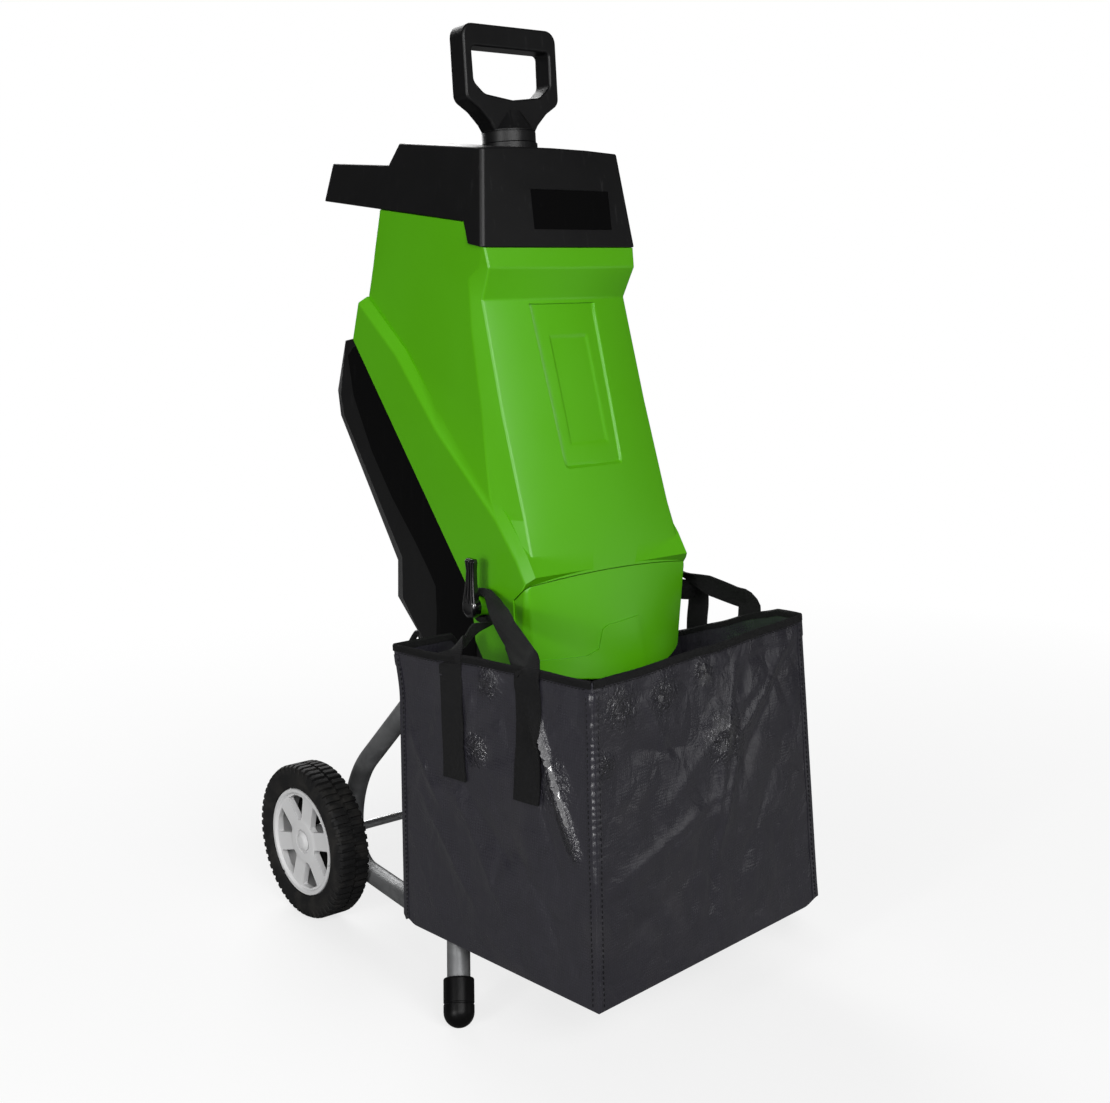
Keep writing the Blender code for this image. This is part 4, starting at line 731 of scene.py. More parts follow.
@dataclass(frozen=True)
class Windings:
    """Enamelled copper wire laid in turns between steel sheets."""

    name: str
    colour: Triple = (0.50, 0.19, 0.06)

    def material(self) -> Material:
        """Build the node material."""
        graph = Graph(self.name)
        layers = graph.bands(graph.mapped((1.0, 1.0, 1.0), (0.7, 0.0, 0.0)), 420.0, "Z", 0.6)
        tone = graph.blend(layers, shade(self.colour, 0.45), shade(self.colour, 1.2))
        dull = graph.spread(graph.clouds(graph.mapped(), 60.0), 0.0, 0.5, 0.45, 0.7)
        graph.into("Base Color", graph.blend(dull, tone, (0.10, 0.10, 0.11)))
        graph.into("Metallic", 0.8)
        graph.into("Roughness", graph.spread(layers, 0.3, 0.5))
        graph.into("Normal", graph.bump(layers, 0.0003, 0.8))
        return graph.material


class Finishes:
    """Every finish of the machine, made once and shared by its pieces."""

    def __init__(self) -> None:
        """Build the materials."""
        self.green = MouldedPlastic("green plastic", (0.0810, 0.3750, 0.0008), 0.37, mottle=0.035,
                                    scuff=0.05, sheen=0.46).material()
        self.hood_black = MouldedPlastic("hood plastic", (0.0034, 0.0034, 0.0037), 0.40, 900.0,
                                         0.00008).material()
        self.shell_black = MouldedPlastic("housing plastic", (0.0042, 0.0042, 0.0044), 0.46, 700.0,
                                          0.00012).material()
        # Darker copy of the housing's black for the strips along the seam: painted shade on the base's side
        # face.
        self.band_painted_shade = MouldedPlastic("band plastic painted shade", (0.0017, 0.0017, 0.0018), 0.55, 700.0, 0.00012,
                                         scuff=0.05, sheen=0.08).material()
        self.gloss_black = MouldedPlastic("lever plastic", (0.0025, 0.0025, 0.0028), 0.16, 900.0, 0.00002,
                                          coat=0.6, scuff=0.1, sheen=0.5).material()
        self.label_black = MouldedPlastic("label plate", (0.0016, 0.0016, 0.0017), 0.60, 500.0, 0.00004,
                                          scuff=0.03, sheen=0.05).material()
        self.hub_grey = MouldedPlastic("hub plastic", (0.6400, 0.6400, 0.6420), 0.46, 900.0, 0.00006,
                                       mottle=0.05, scuff=0.3).material()
        self.key_red = MouldedPlastic("red key", (0.42, 0.016, 0.012), 0.34, scuff=0.1).material()
        self.key_green = MouldedPlastic("green key", (0.03, 0.26, 0.03), 0.34, scuff=0.1).material()
        self.tube_grey = Metal("painted tube", (0.200, 0.203, 0.207), (0.120, 0.122, 0.125), 0.45,
                               0.42).material()
        self.steel = Metal("bare steel", (0.52, 0.53, 0.54), (0.30, 0.28, 0.26)).material()
        self.blade_steel = Metal("ground blade", (0.62, 0.63, 0.65), (0.42, 0.41, 0.40), 1.0, 0.24,
                                 (900.0, 40.0, 40.0)).material()
        self.cast_metal = Metal("cast case", (0.40, 0.41, 0.42), (0.26, 0.25, 0.24), 0.85, 0.52,
                                (300.0, 300.0, 300.0), 0.0001).material()
        self.windings = Windings("motor windings").material()
        self.tyre_rubber = Rubber("tyre rubber", (0.0060, 0.0060, 0.0063)).material()
        self.cap_rubber = Rubber("cap rubber", (0.0022, 0.0022, 0.0024), roughness=0.36, dusty=0.03,
                                 gloss=0.12).material()
        self.cloth = CoatedCloth("coated cloth", (0.0185, 0.0176, 0.0232)).material()
        self.binding = WovenBand("hem binding", (0.0034, 0.0034, 0.0037), 0.0012).material()
        self.webbing = WovenBand("strap webbing", (0.0058, 0.0058, 0.0062)).material()
        self.thread = Rubber("sewing thread", (0.0060, 0.0060, 0.0065), (0.03, 0.03, 0.03), 0.35,
                             0.2).material()


@dataclass
class HopperHood:
    """Black feed hood over the tower, with its bare label plate and the funnel under it.

    Outline points hold Y, height, and whether the hood's front bow and top dome move them.
    """

    outline: tuple[tuple[float, ...], ...] = (
        (0.0645, 0.8093, 1, 0), (0.0818, 0.9145, 1, 1), (0.2380, 0.9265, 0, 1), (0.2560, 0.9030, 0, 0),
        (0.3760, 0.9095, 0, 0), (0.3880, 0.8650, 0, 0), (0.1020, 0.8370, 0, 0), (0.0910, 0.8130, 0, 0))
    half_low: float = 0.9336 * SKIRT_HALF
    half_top: float = 0.8800 * 0.9336 * SKIRT_HALF
    bow: float = 0.0020
    dome: float = 0.0030
    wall: float = 0.0032
    floor_lift: float = 0.0036
    throat: Triple = (0.0950, 0.2120, 0.0620)
    gap: float = 0.0004
    shaft: float = 0.0265
    corner: float = 0.0055
    edge: float = 0.0017
    label_x: Pair = (-0.0380, 0.0770)
    label_z: Pair = (0.8285, 0.8725)
    label_deep: float = 0.0008
    label_play: float = 0.0012

    def half(self, height: float) -> float:
        """Return the half width at a height."""
        low, top = self.outline[0][1], self.outline[1][1]
        return self.half_low + (self.half_top - self.half_low) * (height - low) / (top - low)

    def floor(self, y: float) -> float:
        """Return the height of the lower edge behind the notch."""
        lip, notch = self.outline[5], self.outline[6]
        return notch[1] + (lip[1] - notch[1]) / (lip[0] - notch[0]) * (y - notch[0])

    def front_y(self, height: float) -> float:
        """Return the front's Y at a height."""
        low, top = self.outline[0], self.outline[1]
        return low[0] + (top[0] - low[0]) * (height - low[1]) / (top[1] - low[1])

    def skin(self, name: str, outline: Sequence[Sequence[float]], inset: float = 0.0) -> Piece:
        """Skin a side outline across the tapering hood."""
        rings = []
        for share in (-1.0, -0.5, 0.0, 0.5, 1.0):
            swell = 1.0 - share * share
            rings.append([place(share * (self.half(z) - inset), y - self.bow * swell * bowed,
                                z + self.dome * swell * domed) for y, z, bowed, domed in outline])
        return Bench.loft(name, rings)

    def build(self, finishes: Finishes) -> None:
        """Build and dress the hood, its label plate and its funnel."""
        hood = self.skin("hood_shell", self.outline)
        front = [place(0.0, y, z) for y, z, _, _ in self.outline[:2]]
        with Bench.editing(hood, Pick.EDGE) as work:
            for edge in work.edges:
                ends = sorted((vert.co for vert in edge.verts), key=lambda spot: spot.z)
                edge.select = all(abs(end.y - knot.y) < 0.0004 and abs(end.z - knot.z) < 0.0004
                                  and abs(end.x) > 0.09 for end, knot in zip(ends, front))
            bpy.ops.mesh.bevel(offset=self.corner, segments=5, profile=0.5, affect="EDGES",
                               clamp_overlap=True)
        Bench.bevel(hood, self.edge, 3, 30.0)
        self.hollow(hood)
        Bench.soften(hood, 0.0, smooth_angle=36.0)
        Bench.rest(hood, "upper", finishes.hood_black, ("hopper_hood",))
        low, high = self.label_z
        lean = math.atan2(self.front_y(high) - self.front_y(low), high - low)
        middle = (low + high) / 2.0
        play = self.label_play
        size = (self.label_x[1] - self.label_x[0] - play, play, (high - low) / math.cos(lean) - play)
        centre = place(sum(self.label_x) / 2.0,
                       self.front_y(middle) - 0.6 * self.bow + self.label_deep, middle)
        plate = Bench.box("hood_label_plate", size, centre, Matrix.Rotation(-lean, 3, "X"))
        Bench.soften(plate, 0.0003, 2)
        Bench.rest(plate, "upper", finishes.label_black)
        Bench.dress(("hopper_throat",), finishes.hood_black)

    def hollow(self, hood: Piece) -> None:
        """Cut the feed tray, the tower's seat, the funnel's mouth, the plunger's bore and the label."""
        low, top, step_top, step_low, lip, _, notch_top, notch_low = self.outline
        inner_y = low[0] + 0.0085
        tray = ((inner_y, self.floor(low[0]) + self.floor_lift, 1, 0),
                (top[0] + self.wall, top[1] - self.wall - 0.0006, 1, 1),
                (step_top[0] - 0.0060, step_top[1] - self.wall, 0, 1),
                (step_low[0] - 0.0035, step_low[1] + 0.0040, 0, 0),
                (step_low[0] + 0.0040, step_low[1] + 0.0200, 0, 0), (lip[0] + 0.0300, lip[1] + 0.0200, 0, 0),
                (lip[0] + 0.0300, self.floor(lip[0] + 0.0300) + self.floor_lift, 0, 0))
        Bench.combine(hood, self.skin("hopper_space", tray, self.wall))
        seat = ((inner_y, low[1] - 0.0100, 1, 0), (inner_y, self.floor(low[0]) - 0.0005, 1, 0),
                (notch_top[0] - 0.0040, self.floor(notch_top[0]) - 0.0005, 0, 0),
                (notch_low[0] - 0.0020, notch_low[1] - 0.0100, 0, 0))
        Bench.combine(hood, self.skin("skirt_space", seat, self.wall))
        front, back, half = self.throat
        mouth = (2.0 * (half + self.gap), back - front + 2.0 * self.gap, 0.080)
        middle = (front + back) / 2.0
        Bench.combine(hood, Bench.box("throat_mouth", mouth, place(0.0, middle, self.floor(middle))))
        plunger = Plunger()
        foot, up = plunger.seat, plunger.up
        for name, low_end, high_end, radius, operation in (
                ("seat_boss", -0.0120, 0.0, plunger.collar + 0.0015, "UNION"),
                ("seat_face", 0.0, 0.0300, plunger.collar + 0.0020, "DIFFERENCE"),
                ("seat_bore", -0.0400, 0.0200, self.shaft + 0.0010, "DIFFERENCE")):
            rod = Bench.rod(name, foot + up * low_end, foot + up * high_end, radius, 72)
            Bench.combine(hood, rod, operation)
        corners = [(z, self.front_y(z) - 0.55 * self.bow) for z in self.label_z]
        slot = [place(self.label_x[0], corners[end][1] + deep, corners[end][0]) for end, deep in (
            (0, -0.0100), (1, -0.0100), (1, self.label_deep), (0, self.label_deep))]
        Bench.combine(hood, Bench.plate("label_slot", slot, X_AXIS * (self.label_x[1] - self.label_x[0])))


@dataclass
class Plunger:
    """Plunger grip: a rounded loop on a flared neck and a round collar."""

    foot: Pair = (0.1580, 0.9245)
    lean: float = math.radians(5.0)
    half: float = 0.0670
    high: float = 0.1300
    deep: float = 0.0270
    collar: float = 0.0310
    collar_high: float = 0.0155
    edge: float = 0.0042

    @property
    def up(self) -> Vector:
        """Return the way in which the plunger is pulled out."""
        return Vector((0.0, math.sin(self.lean), math.cos(self.lean)))

    @property
    def seat(self) -> Vector:
        """Return the middle of the collar's foot."""
        return place(0.0, *self.foot)

    def at(self, across: float, rise: float, depth: float) -> Vector:
        """Return a point of the grip's own plane; depth is counted towards the front."""
        return self.seat + X_AXIS * across + self.up * rise + X_AXIS.cross(self.up) * depth

    def outline(self, corners: Sequence[Triple], depth: float) -> list[Vector]:
        """Mirror right-hand (x, rise, radius) corners and round them at a depth."""
        right = [(self.at(x, rise, depth), radius) for x, rise, radius in corners]
        left = [(self.at(-x, rise, depth), radius) for x, rise, radius in reversed(corners) if x > 0.0001]
        both = right + left
        return rounded([corner for corner, _ in both], [radius for _, radius in both])

    def build(self, finishes: Finishes) -> None:
        """Build and dress the grip; the ribbed shaft under it keeps its own shape."""
        forward = X_AXIS.cross(self.up)
        outer = ((self.half, 0.1295, 0.0140), (self.half, 0.0470, 0.0120), (0.0480, 0.0350, 0.0160),
                 (0.0345, 0.0215, 0.0100), (self.collar - 0.0012, 0.0140, 0.0))
        inner = ((0.0553, 0.1045, 0.0050), (0.0545, 0.0660, 0.0100), (0.0400, 0.0535, 0.0140),
                 (0.0, 0.0485, 0.0))
        grip = Bench.plate("plunger_grip", self.outline(outer, -self.deep / 2.0), forward * self.deep)
        hole = Bench.plate("grip_hole", self.outline(inner, -self.deep), forward * (2.0 * self.deep))
        Bench.combine(grip, hole)
        Bench.bevel(grip, self.edge, 4, 60.0)
        for way in (-1.0, 1.0):
            self.scoop(grip, way)
        shoulder = Bench.rod("grip_shoulder", self.at(0.0, self.collar_high - 0.0006, 0.0),
                             self.at(0.0, 0.0400, 0.0), self.collar - 0.0014, 72, 0.0130)
        Bench.combine(grip, shoulder, "UNION")
        collar = Bench.turned("grip_collar", (
            (0.0004, 0.0), (0.0004, self.collar - 0.0008), (0.0012, self.collar), (0.0122, self.collar),
            (0.0127, self.collar - 0.0008), (0.0133, self.collar - 0.0008), (0.0138, self.collar),
            (self.collar_high - 0.0008, self.collar), (self.collar_high, self.collar - 0.0012),
            (self.collar_high, 0.0)), self.seat, self.up, 96)
        Bench.combine(grip, collar, "UNION")
        Bench.soften(grip, 0.0005, 2, 48.0, 38.0)
        Bench.rest(grip, "plunger", finishes.hood_black, ("plunger_handle",))
        Bench.dress(("plunger_shaft",), finishes.hood_black)

    def scoop(self, grip: Piece, way: float) -> None:
        """Cut the pointed arch out of the neck's front (way 1) or back (way -1)."""
        arch = ((0.0245, 0.0140, 0.0), (0.0185, 0.0235, 0.0060), (0.0070, 0.0330, 0.0060), (0.0, 0.0360, 0.0))
        start = self.outline(arch, way * 0.0075)
        tool = Bench.plate("grip_scoop", start, X_AXIS.cross(self.up) * (way * 0.0200))
        Bench.combine(grip, tool)


@dataclass
class Tower:
    """Green feed tower with its flared skirt and sunk front field, and the cover over the outlet.

    A section row holds its height, the front's Y at the middle and at its ends, the half widths of
    the front and of the sides as shares of the skirt's, and the Y where the corner strip ends.
    """

    half: float = SKIRT_HALF
    wall: float = 0.0032
    gap: float = 0.0004
    bow_steps: int = 8
    rows: tuple[tuple[float, ...], ...] = (
        (0.8800, 0.0605, 0.0645, 0.9004, 0.9046, 0.0705), (0.8090, 0.0605, 0.0645, 0.9004, 0.9046, 0.0705),
        (0.7873, 0.0545, 0.0597, 0.8822, 0.9029, 0.0760), (0.7764, 0.0572, 0.0646, 0.8747, 0.9046, 0.0925),
        (0.7530, 0.0625, 0.0752, 0.8589, 0.9087, 0.0905), (0.7216, 0.0524, 0.0657, 0.8631, 0.9170, 0.0868),
        (0.6346, 0.0245, 0.0394, 0.8755, 0.9378, 0.0664), (0.5211, -0.0107, 0.0, 0.8838, 0.9668, 0.0446),
        (0.4830, -0.0221, -0.0135, 0.8963, 0.9751, -0.0060),
        (0.4560, -0.0284, -0.0191, 0.9627, 0.9876, -0.0145))
    lip_heights: tuple[float, ...] = (0.4585, 0.4585, 0.4493, 0.4450, 0.4560, 0.4560)
    foot: tuple[float, ...] = (0.3430, -0.0590, -0.0180, 0.9004, 0.9668, -0.0040)
    foot_heights: tuple[float, ...] = (0.3430, 0.3430, 0.3516, 0.3570, 0.3570, 0.3570)
    foot_steps: int = 4
    back_top: Pair = (0.2755, 0.8500)
    back_low: Pair = (0.3027, 0.7455)
    back_cut: float = 0.0120
    seam: tuple[Pair, ...] = (
        (0.3088, 0.7031), (0.0776, 0.4272), (0.0710, 0.3767), (0.0530, 0.3526))
    skirt_high: Pair = (0.2960, 0.7448)
    crease: tuple[Pair, ...] = (
        (-0.0173, 0.4545), (-0.0020, 0.4778), (0.0330, 0.5171), (0.1420, 0.6063), (0.2190, 0.6869))
    crease_rise: float = 0.0120
    crease_wide: float = 0.0075
    ear_low: tuple[Pair, ...] = ((0.0200, 0.3570), (-0.0040, 0.3570))
    front_seam: Pair = (-0.0290, 0.4597)
    skirt_edge: float = 0.0020
    cover_back: float = 0.0024
    cover_gap: float = 0.0009
    cover_low: float = 0.2500
    cover_reach: float = 0.25
    tilt: float = math.radians(40.0)
    field_top: Pair = (0.7482, 0.0480)
    field_low: Pair = (0.5700, 0.0430)
    front_extra: float = 0.0006
    field_deep: float = 0.0023
    field_corner: float = 0.0070
    field_runs: dict[str, float] = field(default_factory=lambda: {
        "top": 0.0009, "left": 0.0012, "low": 0.0024, "right": 0.0046})
    field_spans: tuple[float, ...] = (
        -1.03, -1.0, -0.99, -0.97, -0.93, -0.88, -0.80, -0.70, -0.62, -0.60, -0.58, -0.56, -0.54, -0.50, -0.3,
        -0.1, 0.1, 0.3, 0.45, 0.50, 0.53, 0.56, 0.59, 0.62, 0.66, 0.72, 0.80, 0.86, 0.895, 0.91, 0.94, 0.97,
        1.0, 1.03)
    groove_deep: float = 0.0008
    groove_runs: Triple = (0.0010, 0.0026, 0.0040)
    pocket_x: Pair = (-0.0270, 0.0290)
    pocket_z: Pair = (0.5920, 0.7150)
    pocket_deep: float = 0.0011
    pocket_soft: float = 0.0060
    pocket_sharp: float = 0.0010
    beyond: float = 0.3000
    past: float = 0.0600
    edge: float = 0.0022
    step_rise: float = 0.0016
    step_points: tuple[Pair, ...] = (
        (-0.1400, 0.3680), (-0.0550, 0.3710), (-0.0400, 0.3770), (-0.0320, 0.3970), (-0.0240, 0.4010),
        (0.0210, 0.4050), (0.0210, 0.3200), (-0.1400, 0.3200))

    def ring(self, row: Sequence[float], inset: float,
             heights: Sequence[float] | None = None) -> list[Vector]:
        """Return one section of the tower.

        Args:
            row: the section row.
            inset: how far it lies inside the outer skin.
            heights: heights of its points where they aren't level.

        Returns:
            The ring in the frame, from the front's middle round by the right.
        """
        height, centre, edge, front, side, strip = row
        levels = heights or (height,) * 6
        slope = (self.back_low[0] - self.back_top[0]) / (self.back_top[1] - self.back_low[1])
        back = self.back_top[0] + slope * (self.back_top[1] - height) - inset
        half, side = front * self.half - inset, side * self.half - inset
        right = []
        for step in range(1, self.bow_steps + 1):
            share = step / self.bow_steps
            bow = share ** 2
            right.append((share * half, centre + bow * (edge - centre) + inset,
                          levels[0] + bow * (levels[2] - levels[0])))
        right += [(side, strip + 0.6 * inset, levels[3]), (side, back - self.back_cut, levels[4]),
                  (side - self.back_cut, back, levels[5])]
        left = [(-x, y, z) for x, y, z in reversed(right)]
        return [place(*point) for point in [(0.0, centre + inset, levels[0])] + right + left]

    def hull(self, name: str, inset: float = 0.0, over: float = 0.0) -> Piece:
        """Skin the tower's hull, thinner by inset and longer by over."""
        rings = []
        if over:
            rings.append(self.ring((self.foot[0] - over, *self.foot[1:]), inset))
        above = self.rows[-1]
        for step in range(self.foot_steps):
            share = step / self.foot_steps
            row = [a + share * (b - a) for a, b in zip(self.foot, above)]
            levels = [h + share * (lip - h) for h, lip in zip(self.foot_heights, self.lip_heights)]
            rings.append(self.ring(row, inset, levels))
        for index, row in enumerate(reversed(self.rows)):
            extra = over if index == len(self.rows) - 1 else 0.0
            rings.append(self.ring((row[0] + extra, *row[1:]), inset, None if index else self.lip_heights))
        piece = Bench.loft(name, rings)
        if not over:
            Bench.bevel(piece, self.edge, 3, 12.0)
        return piece

    def seam_line(self, push: float) -> list[Pair]:
        """Return the seam from the top down, pushed back."""
        across = (push * math.cos(self.tilt), -push * math.sin(self.tilt))
        upper = [(y + across[0], z + across[1]) for y, z in self.seam[:2]]
        return upper + [(y + push, z) for y, z in self.seam[2:]]

    def skirt_line(self, inset: float, rise: float, behind: float) -> list[Pair]:
        """Return the skirt's side outline; rise carries it up its crease."""
        out = (math.cos(self.tilt), -math.sin(self.tilt))
        crease = [(y - (rise - inset) * out[0], z - (rise - inset) * out[1]) for y, z in self.crease]
        high = (self.skirt_high[0] - rise * out[0], self.skirt_high[1] - inset - rise * out[1])
        seam = self.seam_line(behind)
        front = [(self.ear_low[1][0] + inset, self.ear_low[1][1] - behind),
                 (self.cover_back - 0.004 + inset, 0.430)]
        low = [(self.ear_low[0][0], self.ear_low[0][1] - behind)]
        if behind:
            seam[-1] = (seam[-1][0], seam[-1][1] - behind)
            seam.insert(0, (self.seam[0][0] - inset, self.seam[0][1]))
        return [high] + seam + low + front + crease

    def skirt(self, name: str, inset: float = 0.0, behind: float = 0.0) -> Piece:
        """Skin the skirt and its ears across the machine, with the crease rounded."""
        outer = self.skirt_line(inset, 0.0, behind)
        inner = self.skirt_line(inset, self.crease_rise, behind)
        wide = self.half - inset
        near = wide - self.crease_wide
        sections = ((-wide, outer), (-near, inner), (near, inner), (wide, outer))
        piece = Bench.loft(name, [[place(x, y, z) for y, z in line] for x, line in sections])
        if not behind:
            with Bench.editing(piece, Pick.EDGE) as work:
                for edge in work.edges:
                    ends = [vert.co for vert in edge.verts]
                    outside = all(abs(abs(end.x) - wide) < 0.0001 for end in ends)
                    mid = (ends[0] + ends[1]) / 2.0
                    above_seam = (mid.z - self.seam[1][1]) * math.sin(self.tilt) > -0.03
                    off_deck = (mid.y + CENTRE_Y - self.seam[1][0]) * math.cos(self.tilt) - (
                        mid.z - self.seam[1][1]) * math.sin(self.tilt)
                    edge.select = outside and above_seam and off_deck < -0.012
                bpy.ops.mesh.bevel(offset=self.skirt_edge, segments=3, profile=0.5, affect="EDGES",
                                   clamp_overlap=True)
        return piece

    def slab(self, name: str, line: Sequence[Pair]) -> Piece:
        """Extrude a side outline right across the machine."""
        return Bench.plate(name, [place(-self.beyond, y, z) for y, z in line], X_AXIS * (2.0 * self.beyond))

    def cover_space(self, push: float) -> list[Pair]:
        """Return the side outline of the cover's space, grown by push."""
        out_y, out_z = math.cos(self.tilt), -math.sin(self.tilt)
        run = (self.cover_back + push - self.front_seam[0]) / out_y
        corner = (self.cover_back + push, self.front_seam[1] + push / out_y + out_z * run)
        start = (self.front_seam[0] - self.cover_reach * out_y,
                 self.front_seam[1] + push / out_y - self.cover_reach * out_z)
        back = self.ear_low[1][0] + push
        return [start, corner, (back, self.foot[0] - 0.0030), (back, self.cover_low),
                (start[0], self.cover_low)]

    def front_y(self, height: float, across: float) -> float:
        """Return the front surface's Y at a height and a distance from the middle."""
        rows = [self.foot[:4]] + [row[:4] for row in reversed(self.rows)]
        for low, high in zip(rows, rows[1:]):
            if low[0] <= height <= high[0]:
                share = (height - low[0]) / (high[0] - low[0])
                centre, edge, half = (low[k] + share * (high[k] - low[k]) for k in (1, 2, 3))
                return centre + (across / (half * self.half)) ** 2 * (edge - centre)
        return rows[-1][1]

    def sunk(self, height: float, share: float, half: float) -> float:
        """Return the front field's depth.

        Args:
            height: height over the floor.
            share: place across the field, -1 and 1 at its sides.
            half: the field's half width there.

        Returns:
            Depth under the front surface, below 0 outside the field.
        """
        x = share * half
        low = height - self.field_low[0]
        top = self.field_top[0] - height
        side = half - abs(x)
        corner = self.field_corner
        if low < corner and side < corner:
            inside = corner - math.hypot(corner - low, corner - side)
        else:
            inside = min(low, side)
        if low < side and low < top:
            run = self.field_runs["low"]
        elif x > 0.0 and side < top and side <= low + 0.001:
            run = self.field_runs["right"]
        else:
            run = self.field_runs["left"]
        floor = self.field_deep * min(1.0, max(-1.0, min(inside / run, top / self.field_runs["top"])))
        soft, sharp = self.pocket_soft, self.pocket_sharp
        pocket = min(smooth(self.pocket_x[0] - sharp, self.pocket_x[0] + sharp, x),
                     1.0 - smooth(self.pocket_x[1] - soft, self.pocket_x[1], x),
                     smooth(self.pocket_z[0], self.pocket_z[0] + soft, height),
                     1.0 - smooth(self.pocket_z[1] - soft, self.pocket_z[1], height))
        groove = 0.0
        if x < 0.0:
            start, near, far = self.groove_runs
            groove = self.groove_deep * smooth(0.0, start, inside) * (1.0 - smooth(near, far, inside))
        return floor + self.pocket_deep * pocket + groove

    def field_tool(self) -> Piece:
        """Build the tool that sinks the front field: a block whose back follows the sunk surface."""
        low, top = self.field_low[0], self.field_top[0]
        heights = [low + step for step in (-0.002, 0.0, 0.0012, 0.0024, 0.0040, 0.0070, 0.0110, 0.018)]
        heights += [self.pocket_z[0] + 0.0015 * step for step in range(1, 5)]
        heights += [0.605, 0.620, 0.6346, 0.650, 0.670, 0.690, 0.705]
        heights += [self.pocket_z[1] - 0.0015 * step for step in range(5)]
        heights += [0.7216, 0.732, 0.742, top - 0.0012, top - 0.0009, top, top + 0.0015]
        rows = []
        for height in sorted(heights):
            rise = min(1.0, max(0.0, (height - low) / (top - low)))
            half = self.field_low[1] + rise * (self.field_top[1] - self.field_low[1])
            rows.append([place(share * half, self.front_y(height, share * half)
                               + self.sunk(height, share, half), height) for share in self.field_spans])
        tool = Bench.sheet("field_tool", rows)
        with Bench.editing(tool):
            bpy.ops.mesh.select_all(action="SELECT")
            bpy.ops.mesh.extrude_region_move(TRANSFORM_OT_translate={"value": (0.0, -0.03, 0.0)})
            Bench.outward()
        return tool

    def build(self, finishes: Finishes) -> None:
        """Build and dress the tower shell and the cover."""
        shell = self.hull("tower_shell")
        Bench.combine(shell, self.skirt("skirt"), "UNION")
        space = self.hull("tower_space", self.wall + self.front_extra, self.past)
        Bench.combine(space, self.skirt("skirt_space", self.wall, self.past), "UNION")
        Bench.combine(shell, space)
        seam = self.seam_line(0.0)
        front, back, low, high = -0.10, 0.60, 0.20, 1.20
        behind = seam + [(seam[3][0], low), (back, low), (back, seam[0][1])]
        Bench.combine(shell, self.slab("deck_side", behind))
        hood = HopperHood()
        notch = [hood.outline[index][:2] for index in (0, 7, 6)]
        above = [(front, notch[0][1]), *notch, (back, hood.floor(back)), (back, high), (front, high)]
        Bench.combine(shell, self.slab("hood_side", [(y, z - self.gap) for y, z in above]))
        Bench.combine(shell, self.slab("cover_side", self.cover_space(self.cover_gap)))
        Bench.combine(shell, self.field_tool())
        Bench.soften(shell, 0.0, smooth_angle=33.0)
        Bench.rest(shell, "upper", finishes.green, ("upper_housing",))
        self.cover(finishes)
        Bench.dress(("lever_hub_left", "lever_hub_right"), finishes.green)
        Bench.dress(("housing_screw_left", "housing_screw_right"), finishes.steel)
        Bench.dress(("counter_blade",), finishes.blade_steel)

    def cover(self, finishes: Finishes) -> None:
        """Build the cover with its raised stepped field."""
        cover = self.hull("outlet_cover")
        Bench.combine(cover, self.slab("cover_keep", self.cover_space(0.0)), "INTERSECT")
        field_part = self.hull("cover_field")
        corners = [Vector((x, -0.30, z)) for x, z in self.step_points]
        Bench.combine(field_part, Bench.plate("step_prism", corners, Vector((0.0, 0.215, 0.0))), "INTERSECT")
        field_part.location = (0.0, -self.step_rise, 0.0)
        Bench.settle(field_part)
        Bench.combine(cover, field_part, "UNION")
        Bench.combine(cover, self.hull("cover_space", self.wall, self.past))
        Bench.soften(cover, 0.0, smooth_angle=33.0)
        Bench.rest(cover, "upper", finishes.green, ("discharge_cover",))


